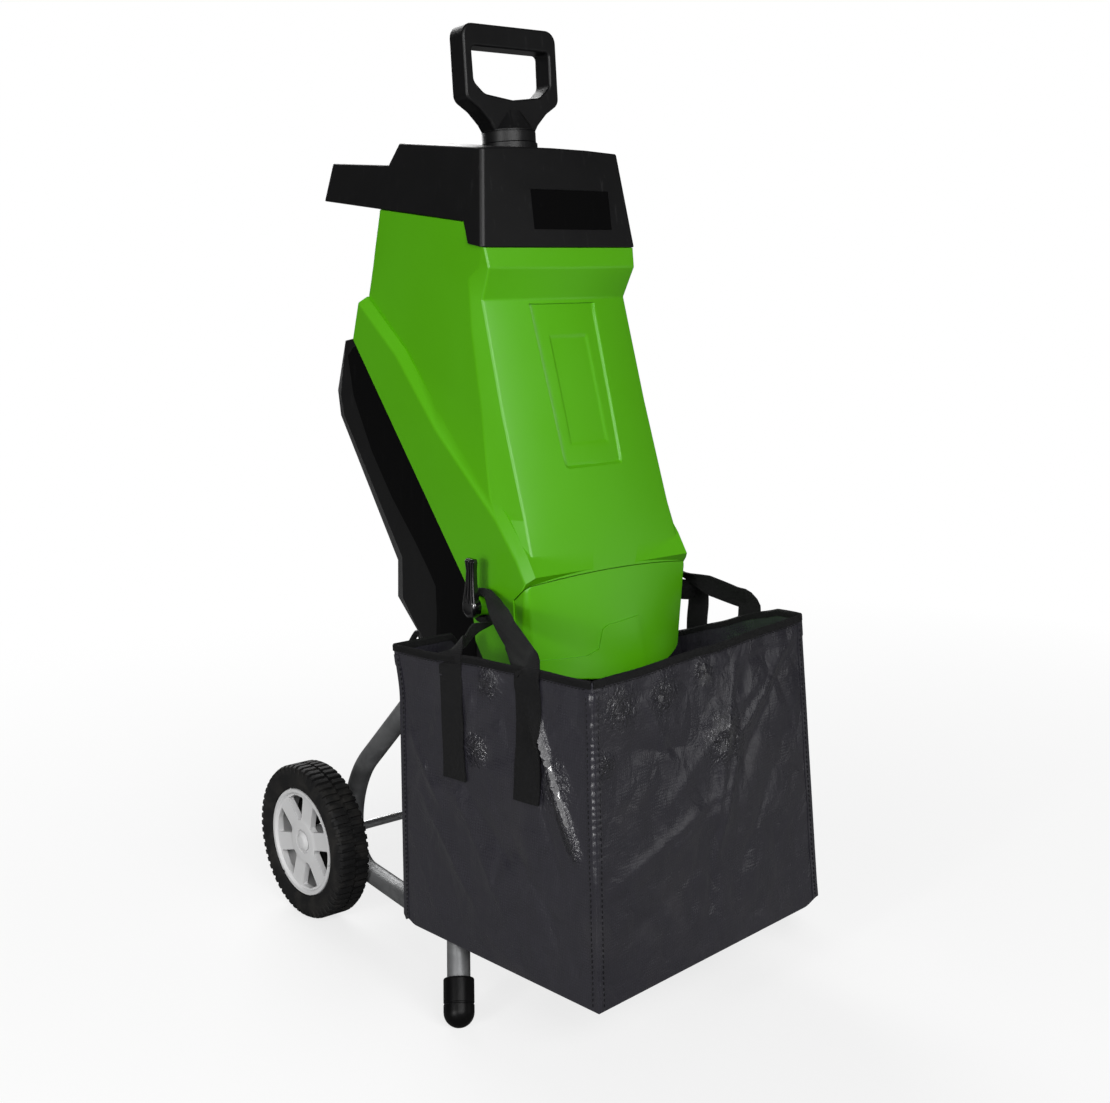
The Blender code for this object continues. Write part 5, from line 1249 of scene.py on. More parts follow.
@dataclass
class LockingLever:
    """Glossy lever on the tower's side: round boss, ribbed neck and blunt tip."""

    side: Side
    pivot: Pair = LEVER_PIVOT
    start_x: float = SKIRT_HALF + HUB_GAP + HUB_LONG + HUB_GAP
    boss: float = 0.0125
    thick: float = 0.0110
    reach: float = 0.0540
    neck_rows: tuple[Triple, ...] = (
        (0.0040, 0.0112, 0.0098), (0.0150, 0.0092, 0.0092), (0.0280, 0.0074, 0.0084),
        (0.0400, 0.0068, 0.0080), (0.0460, 0.0074, 0.0084), (0.0505, 0.0080, 0.0088),
        (0.0540, 0.0064, 0.0074))

    def build(self, finishes: Finishes) -> None:
        """Build and dress the lever."""
        sign = self.side.value
        out = X_AXIS * sign
        centre = place(sign * self.start_x, *self.pivot)
        boss = Bench.turned("lever_boss", (
            (0.0, 0.0), (0.0, self.boss - 0.0008), (0.0010, self.boss), (self.thick - 0.0035, self.boss),
            (self.thick - 0.0012, self.boss - 0.0014), (self.thick - 0.0002, self.boss - 0.0040),
            (self.thick - 0.0010, self.boss - 0.0062), (self.thick - 0.0005, 0.0)), centre, out, 64)
        neck = self.neck(centre, sign)
        Bench.combine(boss, neck, "UNION")
        pin = Bench.rod("lever_pin", centre + out * 0.0010, centre - out * 0.0140, 0.0035, 24)
        Bench.combine(boss, pin, "UNION")
        Bench.soften(boss, 0.0005, 2, 40.0, 38.0)
        boss.name = "lever_" + self.side.word
        Bench.rest(boss, boss.name, finishes.gloss_black, ("locking_lever_" + self.side.word,))

    def neck(self, centre: Vector, sign: float) -> Piece:
        """Shape a cube into the neck and give it three raised ribs.

        Args:
            centre: middle of the boss at the hub.
            sign: -1 on the left, 1 on the right.

        Returns:
            The neck with its ribs.
        """
        parts = []
        for offset, half, proud in ((0.0, 1.0, 0.0), (-0.55, 0.13, 0.0011), (0.0, 0.13, 0.0014),
                                    (0.55, 0.13, 0.0011)):
            last = len(self.neck_rows) - 1
            bar = Bench.slices("lever_bar", last, Z_AXIS)
            for vert in bar.data.vertices:
                row = round(vert.co.z * last)
                rise, wide, deep = self.neck_rows[row]
                shrink = 0.0015 if half < 1.0 and row == last else 0.0
                across = (offset + math.copysign(half, vert.co.y)) * wide
                depth = (deep + proud) if vert.co.x > 0.5 else 0.0014
                vert.co = centre + Vector((sign * depth, across, rise - shrink))
            Bench.heal(bar)
            Bench.bevel(bar, 0.0005 if half < 1.0 else 0.0016, 3, 50.0)
            parts.append(bar)
        neck = parts[0]
        for rib in parts[1:]:
            Bench.combine(neck, rib, "UNION")
        return neck


@dataclass
class DriveBase:
    """Black housing behind the seam, the drive inside it and the controls on its back."""

    steel_nodes: tuple[str, ...] = ("deck_plate", "bearing_front", "bearing_rear", "motor_shaft", "disc_nut",
                                    "hinge_pin", "axle", "knife_screw_1", "knife_screw_2", "knife_screw_3",
                                    "knife_screw_4")
    blade_nodes: tuple[str, ...] = ("blade_disc", "knife_a", "knife_b")
    cast_nodes: tuple[str, ...] = ("motor_case", "end_shield")
    winding_nodes: tuple[str, ...] = ("stator_core", "rotor_core")
    black_nodes: tuple[str, ...] = ("cooling_fan", "safety_switch", "mains_inlet")
    half: float = 0.1175
    # Side outline of the very dark strip along the seam, a plate whose finish is painted shade.
    band: tuple[Pair, ...] = (
        (0.3070, 0.6960), (0.0795, 0.4245), (0.0735, 0.3765), (0.0735, 0.3505), (0.1500, 0.3520),
        (0.1480, 0.3950), (0.1495, 0.4257), (0.1620, 0.4420), (0.1890, 0.4725), (0.2350, 0.5190),
        (0.2760, 0.5700), (0.2965, 0.6050), (0.3130, 0.6340), (0.3240, 0.6820))
    band_thick: float = 0.0009

    def build(self, finishes: Finishes) -> None:
        """Build and dress the housing, and dress what it holds."""
        shell = Bench.from_node("motor_housing", "base_housing")
        Bench.soften(shell, 0.0010, 3, 24.0, 40.0)
        Bench.rest(shell, "base", finishes.shell_black, ("base_housing",))
        # The strips along the seam are darker than the housing: painted shade for the side face next to the
        # tower.
        for side in Side:
            start = side.value * (self.half - 0.0004)
            band = Bench.plate("deck_shade_band_" + side.word, [place(start, y, z) for y, z in self.band],
                               X_AXIS * (side.value * (0.0004 + self.band_thick)))
            Bench.soften(band, 0.0006, 3, 60.0, 50.0)
            Bench.rest(band, "base", finishes.band_painted_shade)
        for nodes, material in (
                (self.steel_nodes, finishes.steel), (self.blade_nodes, finishes.blade_steel),
                (self.cast_nodes, finishes.cast_metal), (self.winding_nodes, finishes.windings),
                (self.black_nodes, finishes.hood_black)):
            Bench.dress(nodes, material)
        self.controls(finishes)

    def controls(self, finishes: Finishes) -> None:
        """Build and dress the switch plate and its keys."""
        for name, node, body, material in (
                ("switch_plate", "switch_module", "base", finishes.hood_black),
                ("start_key", "on_button", "on_key", finishes.key_green),
                ("stop_key", "off_button", "off_key", finishes.key_red),
                ("reset_key_cap", "reset_button", "reset_key", finishes.key_red)):
            piece = Bench.from_node(name, node)
            Bench.soften(piece, 0.0004, 2, 40.0, 38.0)
            Bench.rest(piece, body, material, (node,))


@dataclass
class Stand:
    """Tube stand: front legs with rubber caps, bent rear tubes, sockets and lugs."""

    tube: float = 0.0125
    leg_foot: Triple = LEG_FOOT
    leg_top: Triple = LEG_TOP
    strut_top: Triple = (0.1160, 0.1560, 0.3220)
    bend: Triple = (0.1266, 0.4226, 0.0519)
    brace_end: Triple = (0.1990, 0.0018, 0.0745)
    bend_radius: float = 0.0750
    cap: float = 0.0165
    cap_long: float = 0.0520
    sole: float = 0.0020
    inside: float = 0.0025
    bore: float = 0.0004

    def build(self, finishes: Finishes) -> None:
        """Build and dress both sides of the stand."""
        for side in Side:
            self.leg(side, finishes)
            self.rear_tube(side, finishes)
            socket = Bench.from_node("socket_" + side.word, "tube_socket_" + side.word)
            Bench.soften(socket, 0.0015, 3, 50.0, 40.0)
            Bench.rest(socket, "base", finishes.shell_black, ("tube_socket_" + side.word,), "black_plastic")
            lug = Bench.from_node("lug_" + side.word, "frame_lug_" + side.word, 0.1)
            Bench.modify(lug, "SUBSURF", levels=2, render_levels=2)
            Bench.soften(lug, 0.0)
            Bench.rest(lug, "base", finishes.shell_black, ("frame_lug_" + side.word,), "black_plastic")

    def leg(self, side: Side, finishes: Finishes) -> None:
        """Build one front leg and its rubber cap."""
        foot = place(side.value * self.leg_foot[0], *self.leg_foot[1:])
        top = place(side.value * self.leg_top[0], *self.leg_top[1:])
        run = (top - foot).normalized()
        dome = foot - run * ((foot.z - self.cap + self.sole) / run.z)
        leg = Bench.rod("leg_" + side.word, dome + run * self.inside, top, self.tube, 64)
        Bench.soften(leg, 0.0006, 2, 50.0)
        Bench.rest(leg, "base", finishes.tube_grey, ("front_leg_" + side.word,))
        profile = [(-self.cap, 0.0)]
        for step in range(1, 11):
            turn = math.radians(9.0 * step)
            profile.append((-self.cap * math.cos(turn), self.cap * math.sin(turn)))
        straight = self.cap_long - self.cap
        profile += [(0.0070, self.cap), (0.0078, self.cap - 0.0006), (0.0088, self.cap - 0.0006),
                    (0.0096, self.cap), (straight - 0.0022, self.cap), (straight - 0.0008, self.cap - 0.0006),
                    (straight, self.cap - 0.0022), (straight, self.tube + self.bore),
                    (0.0016, self.tube + self.bore), (0.0016, 0.0)]
        cap = Bench.turned("cap_" + side.word, profile, dome, run, 64)
        floor = Bench.box("floor_tool", (0.08, 0.08, 0.02), (dome.x, dome.y, -0.0100))
        Bench.combine(cap, floor)
        Bench.soften(cap, 0.0, smooth_angle=34.0)
        Bench.rest(cap, "base", finishes.cap_rubber, ("foot_cap_" + side.word,))

    def rear_tube(self, side: Side, finishes: Finishes) -> None:
        """Build one strut that bends round into the brace."""
        corners = [place(side.value * x, y, z) for x, y, z in (self.strut_top, self.bend, self.brace_end)]
        path = rounded(corners, (0.0, self.bend_radius, 0.0), 28, closed=False)
        tube = Bench.tube("strut_" + side.word, path, self.tube)
        Bench.soften(tube, 0.0)
        Bench.rest(tube, "base", finishes.tube_grey, ("rear_tube_" + side.word,))


@dataclass
class Wheel:
    """Treaded tyre on a six-spoke hub, with its axle cap."""

    side: Side
    at: Pair = (0.3020, 0.0950)
    radius: float = 0.0950
    face: float = 0.2198
    wide: float = 0.0440
    rim: float = 0.0665
    groove: float = 0.0030
    disc_in: float = 0.0080
    disc_bore: float = 0.0165
    disc_thin: float = 0.0016
    lugs: int = 60
    lug_root: float = 0.0006
    lug_foot: float = 0.0064
    lug_top: float = 0.0054
    lug_end: float = 0.86
    spokes: int = 6
    window: tuple[Pair, ...] = (
        (-0.0030, 0.0265), (-0.0180, 0.0540), (0.0, 0.0585), (0.0180, 0.0540), (0.0030, 0.0265))

    @property
    def centre(self) -> Vector:
        """Return the wheel's middle in the frame."""
        return place(self.side.value * (self.face - self.wide / 2.0), *self.at)

    def build(self, finishes: Finishes) -> None:
        """Build and dress the tyre and the hub."""
        word = self.side.word
        tyre = Bench.gather("tyre_tread_" + word, [self.carcass(), self.back_disc(), *self.tread()])
        tyre.location = self.centre
        Bench.settle(tyre)
        Bench.soften(tyre, 0.0, smooth_angle=30.0)
        Bench.rest(tyre, "wheel_" + word, finishes.tyre_rubber, ("tyre_" + word,))
        hub = self.hub()
        hub.name = "hub_" + word
        Bench.rest(hub, "wheel_" + word, finishes.hub_grey, ("wheel_hub_" + word,))
        Bench.dress(("axle_cap_" + word,), finishes.hub_grey)

    def carcass(self) -> Piece:
        """Spin the tyre's body about the X axis at the origin."""
        half = self.wide / 2.0
        base = self.radius - self.groove
        bead = self.rim + 0.0050
        profile = ((-half + 0.0005, base - 0.0085), (-half + 0.0018, base - 0.0035), (-half + 0.0055, base),
                   (-0.0012, base), (0.0012, base), (half - 0.0055, base), (half - 0.0018, base - 0.0035),
                   (half - 0.0005, base - 0.0085), (half, self.rim + 0.0130),
                   (half - 0.0006, self.rim + 0.0122), (half - 0.0006, self.rim + 0.0108),
                   (half, self.rim + 0.0100), (half - 0.0006, bead), (half - 0.0035, self.rim + 0.0006),
                   (-half + 0.0035, self.rim + 0.0006), (-half + 0.0006, bead), (-half, self.rim + 0.0120))
        return Bench.turned("tyre_body", profile, (0.0, 0.0, 0.0), X_AXIS, 108, closed=True)

    def back_disc(self) -> Piece:
        """Turn the thin black disc that closes the wheel behind its spokes."""
        inner = self.side.value * (self.disc_in - self.wide / 2.0)
        low, high, thin = self.disc_bore, self.rim - 0.0034, self.disc_thin / 2.0
        profile = ((inner - thin, low), (inner + thin, low), (inner + thin, high), (inner - thin, high))
        return Bench.turned("tyre_back", profile, (0.0, 0.0, 0.0), X_AXIS, 72, closed=True)

    def tread(self) -> list[Piece]:
        """Shape one lug of each row from a cube and array it round the tyre."""
        rows = []
        half = self.wide / 2.0
        base = self.radius - self.groove - self.lug_root
        pitch = 2.0 * math.pi / self.lugs
        stations = ((0.0014, base, self.radius), (0.0090, base, self.radius),
                    (half - 0.0065, base, self.radius),
                    (half - 0.0022, base - 0.0030, self.radius - 0.0024),
                    (half - 0.0004, base - 0.0100, self.radius - 0.0110))
        last = len(stations) - 1
        for sign, shift in ((-1.0, 0.0), (1.0, 0.5)):
            lug = Bench.slices("tyre_lug", last, X_AXIS)
            for vert in lug.data.vertices:
                row = round(vert.co.x * last)
                x, low, high = stations[row]
                top = vert.co.z > 0.5
                wide = (self.lug_top if top else self.lug_foot) * (self.lug_end if row == last else 1.0)
                vert.co = (sign * x, math.copysign(wide / 2.0, vert.co.y), high if top else low)
            Bench.heal(lug)
            Bench.bevel(lug, 0.0005, 2, 40.0)
            guide = bpy.data.objects.new("lug_guide", None)
            bpy.context.scene.collection.objects.link(guide)
            guide.rotation_euler = (pitch, 0.0, 0.0)
            bpy.context.view_layer.update()
            Bench.modify(lug, "ARRAY", fit_type="FIXED_COUNT", count=self.lugs, use_relative_offset=False,
                         use_object_offset=True, offset_object=guide)
            bpy.data.objects.remove(guide)
            lug.rotation_euler = (shift * pitch, 0.0, 0.0)
            rows.append(Bench.settle(lug))
        return rows

    def hub(self) -> Piece:
        """Turn the hub's disc, then cut its six windows and three rim notches."""
        half = self.wide / 2.0
        rim = self.rim
        profile = ((-half + 0.0060, rim - 0.0030), (-half + 0.0060, rim), (half - 0.0050, rim),
                   (half - 0.0030, rim - 0.0012), (half - 0.0030, rim - 0.0048),
                   (half - 0.0042, rim - 0.0062), (half - 0.0060, rim - 0.0072),
                   (half - 0.0072, 0.0300), (half - 0.0060, 0.0245), (half - 0.0056, 0.0230),
                   (half - 0.0056, 0.0150), (half - 0.0085, 0.0135), (half - 0.0085, 0.0059),
                   (-half + 0.0040, 0.0059), (-half + 0.0040, 0.0150),
                   (half - 0.0150, 0.0175), (half - 0.0125, rim - 0.0045))
        hub = Bench.turned("hub_disc", profile, (0.0, 0.0, 0.0), X_AXIS, 120, closed=True)
        for index in range(self.spokes):
            turn = Matrix.Rotation(2.0 * math.pi * (index + 0.25) / self.spokes, 3, "X")
            shape = [Vector((-self.wide, y, z)) for y, z in self.window]
            corners = rounded([turn @ corner for corner in shape], (0.0010, 0.0022, 0.0, 0.0022, 0.0010), 4)
            Bench.combine(hub, Bench.plate("hub_window", corners, X_AXIS * (2.0 * self.wide)))
        for index in range(3):
            turn = Matrix.Rotation(2.0 * math.pi * index / 3.0 + 0.35, 3, "X")
            Bench.combine(hub, Bench.box("hub_notch", (0.0060, 0.0040, 0.0050),
                                         turn @ Vector((half - 0.0030, 0.0, rim)), turn))
        hub.location = self.centre
        if self.side is Side.LEFT:
            hub.rotation_euler = (0.0, 0.0, math.pi)
        Bench.settle(hub)
        Bench.soften(hub, 0.0007, 3, 34.0, 40.0)
        return hub


@dataclass
class Strap:
    """Webbing loop that carries one side of the bag over a lever hub."""

    side: Side
    bag: "CollectionBag"
    leg_y: Pair
    wide: float = 0.0320
    thin: float = 0.0016
    bunch: float = 0.0130
    drop: float = 0.1300
    stations: int = 150
    across: int = 12
    ripple: float = 0.0003
    gap: float = 0.0006
    seat: float = 0.0004
    hub: float = 0.0110
    hub_x: float = SKIRT_HALF + HUB_GAP + HUB_LONG / 2.0
    pivot: Pair = LEVER_PIVOT

    def path(self) -> list[tuple[Vector, Vector, float, float]]:
        """Return (point, outward normal, width, fold) along the band, in the machine's own zero."""
        sign = self.side.value
        bag = self.bag
        hub_x = sign * self.hub_x
        middle = Vector((0.0, *self.pivot))
        radius = self.hub + self.seat + self.thin / 2.0
        away = self.thin / 2.0 + self.gap
        inward = Vector((-sign, 0.0, 0.0))
        rows = []
        for index, y in enumerate(self.leg_y):
            turn = 1.0 if index == 0 else -1.0
            top = bag.top_z
            hem = bag.face_x(self.side, y, top)
            leg = []
            for drop in [part * self.drop for part in (1.0, 0.8, 0.6, 0.4, 0.2)] + [0.0080]:
                height = top - drop
                face = bag.face_x(self.side, y, height)
                lean_y = (bag.face_x(self.side, y + 0.01, height) - face) / 0.01
                lean_z = (bag.face_x(self.side, y, height + 0.01) - face) / 0.01
                outward = Vector((sign, -sign * lean_y, -sign * lean_z)).normalized()
                stand = away + self.gap + (self.thin if drop < 0.01 else 0.0)
                leg.append((Vector((face, y, height)) + outward * stand, outward * turn, self.wide, 0.0))
            over = Vector((hem, y, top + 0.0075)) - inward * (away + 2.0 * self.gap)
            leg.append((over, (0.5 * Z_AXIS - inward) * turn, self.wide, 0.0))
            leave = middle + Vector((hub_x, -0.0160, -turn * radius))
            run = leave - over
            upright = Vector((-run.y, run.x, 0.0)).normalized()
            upright *= math.copysign(1.0, -upright.dot(inward))
            for share, width, fold, tip in (
                    (0.12, 0.98 * self.wide, 0.0006, 0.35), (0.45, 0.86 * self.wide, 0.0020, 0.25),
                    (0.80, 1.40 * self.bunch, 0.0045, 0.7), (1.0, self.bunch, 0.0060, 1.0)):
                facing = (upright if share > 0.2 else -inward) * (1.0 - tip) + Z_AXIS * tip
                leg.append((over.lerp(leave, share), facing * turn, width, fold))
            rows.append(leg)
        arc = []
        for step in range(9):
            angle = -math.pi / 2.0 + math.pi * step / 8.0
            ray = Vector((0.0, math.cos(angle), math.sin(angle)))
            arc.append((middle + Vector((hub_x, 0.0, 0.0)) + ray * radius, -ray, self.bunch, 0.0065))
        return rows[0] + arc + rows[1][::-1]

    @staticmethod
    def even(path: Sequence[tuple[Vector, Vector, float, float]], count: int
             ) -> list[tuple[Vector, Vector, float, float]]:
        """Spread path stations evenly along a smooth curve through them."""
        lengths = [0.0]
        for before, after in zip(path, path[1:]):
            lengths.append(lengths[-1] + (after[0] - before[0]).length)
        spread = []
        span = 0
        for index in range(count):
            goal = lengths[-1] * index / (count - 1)
            while span < len(path) - 2 and lengths[span + 1] < goal:
                span += 1
            share = (goal - lengths[span]) / (lengths[span + 1] - lengths[span])
            p0, p1, p2, p3 = (path[min(max(span + k, 0), len(path) - 1)][0] for k in (-1, 0, 1, 2))
            point = 0.5 * ((2.0 * p1) + (p2 - p0) * share + (2.0 * p0 - 5.0 * p1 + 4.0 * p2 - p3) * share ** 2
                           + (3.0 * p1 - p0 - 3.0 * p2 + p3) * share ** 3)
            first, second = path[span], path[span + 1]
            normal = first[1].lerp(second[1], share)
            spread.append((point, normal, first[2] + share * (second[2] - first[2]),
                           first[3] + share * (second[3] - first[3])))
        return spread

    def build(self, finishes: Finishes) -> Piece:
        """Build and dress the strap.

        Returns:
            The strap.
        """
        stations = self.even(self.path(), self.stations)
        run = [0.0]
        for before, after in zip(stations, stations[1:]):
            run.append(run[-1] + (after[0] - before[0]).length)
        shares = [2.0 * column / self.across - 1.0 for column in range(self.across + 1)]
        rows = []
        for index, (point, normal, width, fold) in enumerate(stations):
            along = stations[min(index + 1, len(stations) - 1)][0] - stations[max(index - 1, 0)][0]
            wide = normal.cross(along).normalized()
            flat = along.cross(wide).normalized()
            row = []
            for share in shares:
                lift = -fold * (1.0 - share * share) ** 1.2
                if fold >= 0.0005:
                    lift += self.ripple * math.sin(9.0 * share + run[index] * 60.0)
                spot = point + wide * (share * width / 2.0) + flat * lift
                if spot.z < self.bag.top_z + 0.006:
                    spot.x += self.side.value * self.bag.side_push(self.side, spot.y,
                                                                   min(spot.z, self.bag.top_z))
                row.append(place(*spot))
            rows.append(row)
        band = Bench.sheet("carry_strap_" + self.side.word, rows,
                           lambda column, row: (shares[column] * self.wide / 2.0, run[row]))
        Bench.modify(band, "SOLIDIFY", thickness=self.thin, offset=0.0)
        Bench.soften(band, 0.0004, 2, 60.0, 50.0)
        return Bench.rest(band, "bag", finishes.webbing, ("strap_" + self.side.word,))


@dataclass
class CollectionBag:
    """Open bag of coated cloth: creased walls, bound rim, taped corners and two straps.

    Corners run from the front left round by the right. A share counts across a wall from 0 to 1, and a
    rise up it. A puckered zone holds its wall, share, rise, reach and depth; a crease its wall, the
    share and rise where it starts and where it ends, its depth (below 0 inwards) and its width.
    """

    low_z: float = 0.0820
    top_z: float = 0.4000
    low: tuple[Pair, ...] = ((-0.218, -0.250), (0.155, -0.203), (0.146, 0.046), (-0.235, 0.054))
    top: tuple[Pair, ...] = ((-0.208, -0.226), (0.162, -0.160), (0.154, 0.038), (-0.248, 0.036))
    cuts: int = 89
    rim_back: float = 0.3300
    back_knots: tuple[float, ...] = (0.0, 18 / 90, 27 / 90, 36 / 90, 45 / 90, 1.0)
    thin: float = 0.0012
    middle: Pair = (-0.0350, -0.0900)
    rim_front: float = 0.0055
    dip_back: float = 0.0800
    dip_right: float = 0.0480
    fold_deep: float = 0.0024
    ridge_deep: float = 0.0011
    belly: float = 0.0030
    hem_stand: float = 0.0009
    sag: float = 0.0020
    wave: float = 0.0007
    corner_lift: float = 0.0060
    slot_front: float = 0.0195
    slot_sides: Pair = (0.0165, 0.0265)
    slot_edge: float = 0.0045
    slot_lean: float = 0.0005
    tape_thin: float = 0.0006
    tape_bump: float = 0.0006
    rim_steps: int = 96
    tape_steps: int = 240
    rim_stitches: int = 58
    tape_stitches: int = 56
    thread: float = 0.0007
    rim_seam: Pair = (0.9765, 0.0015)
    tape_stand: Triple = (0.0008, -0.0004, -0.0022)
    leg_foot: Triple = (-LEG_FOOT[0], *LEG_FOOT[1:])
    leg_top: Triple = (-LEG_TOP[0], *LEG_TOP[1:])
    walls: dict[str, tuple[int, int]] = field(default_factory=lambda: {
        "front": (0, 1), "left": (3, 0), "right": (1, 2), "back": (3, 2)})
    zones: tuple[tuple[str, float, float, float, float], ...] = (
        ("left", 0.50, 0.93, 0.07, 0.0016), ("left", 0.43, 0.70, 0.07, 0.0014),
        ("left", 0.80, 0.66, 0.10, 0.0012),
        ("front", 0.11, 0.90, 0.09, 0.0014), ("front", 0.30, 0.90, 0.08, 0.0014),
        ("front", 0.48, 0.93, 0.06, 0.0014), ("front", 0.04, 0.74, 0.05, 0.0016),
        ("front", 0.56, 0.70, 0.12, 0.0010))
    creases: tuple[tuple[str, float, float, float, float, float, float], ...] = (
        ("left", 0.70, 0.88, 0.915, 0.45, 0.0085, 0.013), ("left", 0.655, 0.86, 0.85, 0.33, -0.0035, 0.026),
        ("left", 0.42, 0.90, 0.33, 0.56, 0.0030, 0.03), ("left", 0.23, 0.78, 0.06, 0.42, 0.0030, 0.035),
        ("left", 0.30, 0.62, 0.62, 0.33, -0.0030, 0.04), ("left", 0.12, 0.52, 0.42, 0.16, 0.0044, 0.03),
        ("left", 0.56, 0.48, 0.88, 0.14, -0.0026, 0.035), ("left", 0.04, 0.36, 0.22, 0.06, 0.0026, 0.03),
        ("front", 0.64, 0.96, 0.50, 0.42, 0.0044, 0.026), ("front", 0.50, 0.42, 0.47, 0.14, -0.0030, 0.024),
        ("front", 0.05, 0.33, 0.56, 0.48, 0.0030, 0.04), ("front", 0.78, 0.86, 0.30, 0.56, 0.0030, 0.04),
        ("front", 0.93, 0.70, 0.56, 0.16, -0.0028, 0.04), ("front", 0.12, 0.76, 0.42, 0.70, -0.0034, 0.03),
        ("front", 0.96, 0.96, 0.62, 0.66, 0.0052, 0.022), ("front", 0.90, 0.90, 0.60, 0.50, -0.0040, 0.03),
        ("front", 0.62, 0.64, 0.50, 0.30, 0.0048, 0.02), ("front", 0.06, 0.36, 0.52, 0.52, 0.0040, 0.024),
        ("left", 0.06, 0.70, 0.26, 0.46, 0.0046, 0.03), ("left", 0.30, 0.56, 0.56, 0.20, 0.0036, 0.036),
        ("front", 0.20, 0.92, 0.34, 0.64, 0.0030, 0.022), ("front", 0.10, 0.18, 0.42, 0.30, -0.0024, 0.035),
        ("right", 0.15, 0.90, 0.52, 0.30, 0.0036, 0.035), ("right", 0.70, 0.85, 0.40, 0.25, -0.0030, 0.035),
        ("back", 0.15, 0.70, 0.50, 0.25, 0.0034, 0.035), ("back", 0.85, 0.72, 0.56, 0.20, -0.0034, 0.035),
        ("back", 0.45, 0.78, 0.70, 0.32, 0.0030, 0.03))

    def face_x(self, side: Side, y: float, height: float) -> float:
        """Return the outer X of the left or right wall at a place on it."""
        share = (height - self.low_z) / (self.top_z - self.low_z)
        front, back = (0, 3) if side is Side.LEFT else (1, 2)
        a = Vector(self.low[front]).lerp(Vector(self.top[front]), share)
        b = Vector(self.low[back]).lerp(Vector(self.top[back]), share)
        return a.x + (b.x - a.x) * (y - a.y) / (b.y - a.y)

    def rim_z(self, x: float, y: float) -> float:
        """Return the rim's height: it dips behind, where the housing's belly comes down."""
        behind = smooth(-0.190, -0.150, x) * smooth(-0.005, 0.022, y) * (1.0 - smooth(0.118, 0.128, x))
        right = smooth(0.100, 0.140, x) * min(1.0, max(0.0, (y + 0.160) / 0.198))
        front = 1.0 - smooth(-0.120, 0.020, y)
        return self.top_z + self.rim_front * front - max(self.dip_back * behind, self.dip_right * right)

    def leg_at(self, height: float) -> Pair:
        """Return the left front leg's X and Y at a height."""
        share = (height - self.leg_foot[2]) / (self.leg_top[2] - self.leg_foot[2])
        return tuple(a + share * (b - a) for a, b in zip(self.leg_foot[:2], self.leg_top[:2]))

    def corner(self, index: int, height: float) -> Vector:
        """Return one corner's X and Y at a height."""
        share = (height - self.low_z) / (self.top_z - self.low_z)
        spot = Vector(self.low[index]).lerp(Vector(self.top[index]), share)
        if index == 3:
            spot.x -= 0.0065 * smooth(0.340, 0.405, height)
        return spot

    def back_point(self, share: float, height: float) -> Vector:
        """Return a point of the back wall, which steps forward round the left leg.

        Args:
            share: 0 at the left corner, 1 at the right.
            height: the point's height.

        Returns:
            Its X and Y.
        """
        left, right = self.corner(3, height), self.corner(2, height)
        leg_x, leg_y = self.leg_at(height)
        near = leg_y - self.slot_front
        slot_left = max(leg_x - self.slot_sides[0], left.x + self.slot_edge)
        slot_right = leg_x + self.slot_sides[1]
        edge = [left.lerp(right, (x - left.x) / (right.x - left.x)).y for x in (slot_left, slot_right)]
        line = [left, Vector((slot_left, edge[0])),
                Vector((slot_left + self.slot_lean, min(near, edge[0]))),
                Vector((slot_right - self.slot_lean, min(near, edge[1]))),
                Vector((slot_right, edge[1])), right]
        knots = self.back_knots
        for start, end, before, after in zip(knots, knots[1:], line, line[1:]):
            if share <= end:
                return before.lerp(after, (share - start) / (end - start))
        return right

    def crease(self, wall: str, across: float, rise: float) -> float:
        """Return how far the creases push a wall's point out."""
        push = 0.0
        for name, a0, r0, a1, r1, deep, wide in self.creases:
            if name != wall:
                continue
            start, end, spot = Vector((a0, r0)), Vector((a1, r1)), Vector((across, rise))
            run = end - start
            share = (spot - start).dot(run) / run.length_squared
            taper = smooth(-0.12, 0.18, share) * (1.0 - smooth(0.75, 1.15, share))
            off = (spot - start - run * share).length
            push += deep * taper * math.exp(-off / wide)
        return push

    def crumple(self, spot: Vector) -> float:
        """Return the small folds that cover every wall."""
        soft = noise.fractal(spot * 11.0, 0.9, 2.0, 3, noise_basis="PERLIN_ORIGINAL")
        ridge = noise.ridged_multi_fractal(spot * 15.0 + Vector((3.1, 0.7, 5.2)), 0.9, 2.1, 3, 1.0, 2.0,
                                           noise_basis="PERLIN_ORIGINAL")
        return self.fold_deep * soft + self.ridge_deep * (ridge - 1.2)

    def build(self, finishes: Finishes) -> None:
        """Build and dress the bag, its tapes, its stitches and its straps."""
        bag = Bench.box("bag_cloth", (2.0, 2.0, 2.0), (0.0, 0.0, 0.0))
        with Bench.editing(bag) as work:
            for face in work.faces:
                face.select = abs(face.calc_center_median().z) > 0.9
            work.select_flush_mode()
            bpy.ops.mesh.delete(type="ONLY_FACE")
            bpy.ops.mesh.select_all(action="SELECT")
            bpy.ops.mesh.subdivide(number_cuts=self.cuts)
        laid = [self.lay_down(vert) for vert in bag.data.vertices]
        Bench.lay_flat(bag, [spot for spot, _ in laid])
        glint = bag.data.attributes.new("glint", "FLOAT", "POINT")
        for index, (_, shine) in enumerate(laid):
            glint.data[index].value = shine
        with Bench.editing(bag, Pick.EDGE) as work:
            for edge in work.edges:
                edge.select = edge.is_boundary and max(v.co.z for v in edge.verts) < self.low_z + 0.02
            bpy.ops.mesh.edge_face_add()
            bpy.ops.mesh.quads_convert_to_tris(ngon_method="BEAUTY")
            Bench.outward()
        Bench.modify(bag, "SOLIDIFY", thickness=self.thin, offset=-1.0)
        Bench.soften(bag, 0.0, smooth_angle=62.0)
        Bench.rest(bag, "bag", finishes.cloth, ("collection_bag",))
        for name, tapes, material in (("rim_tape", [self.binding()], finishes.binding),
                                      ("corner_tapes", self.corner_tapes(), finishes.cloth)):
            tape = Bench.gather(name, tapes)
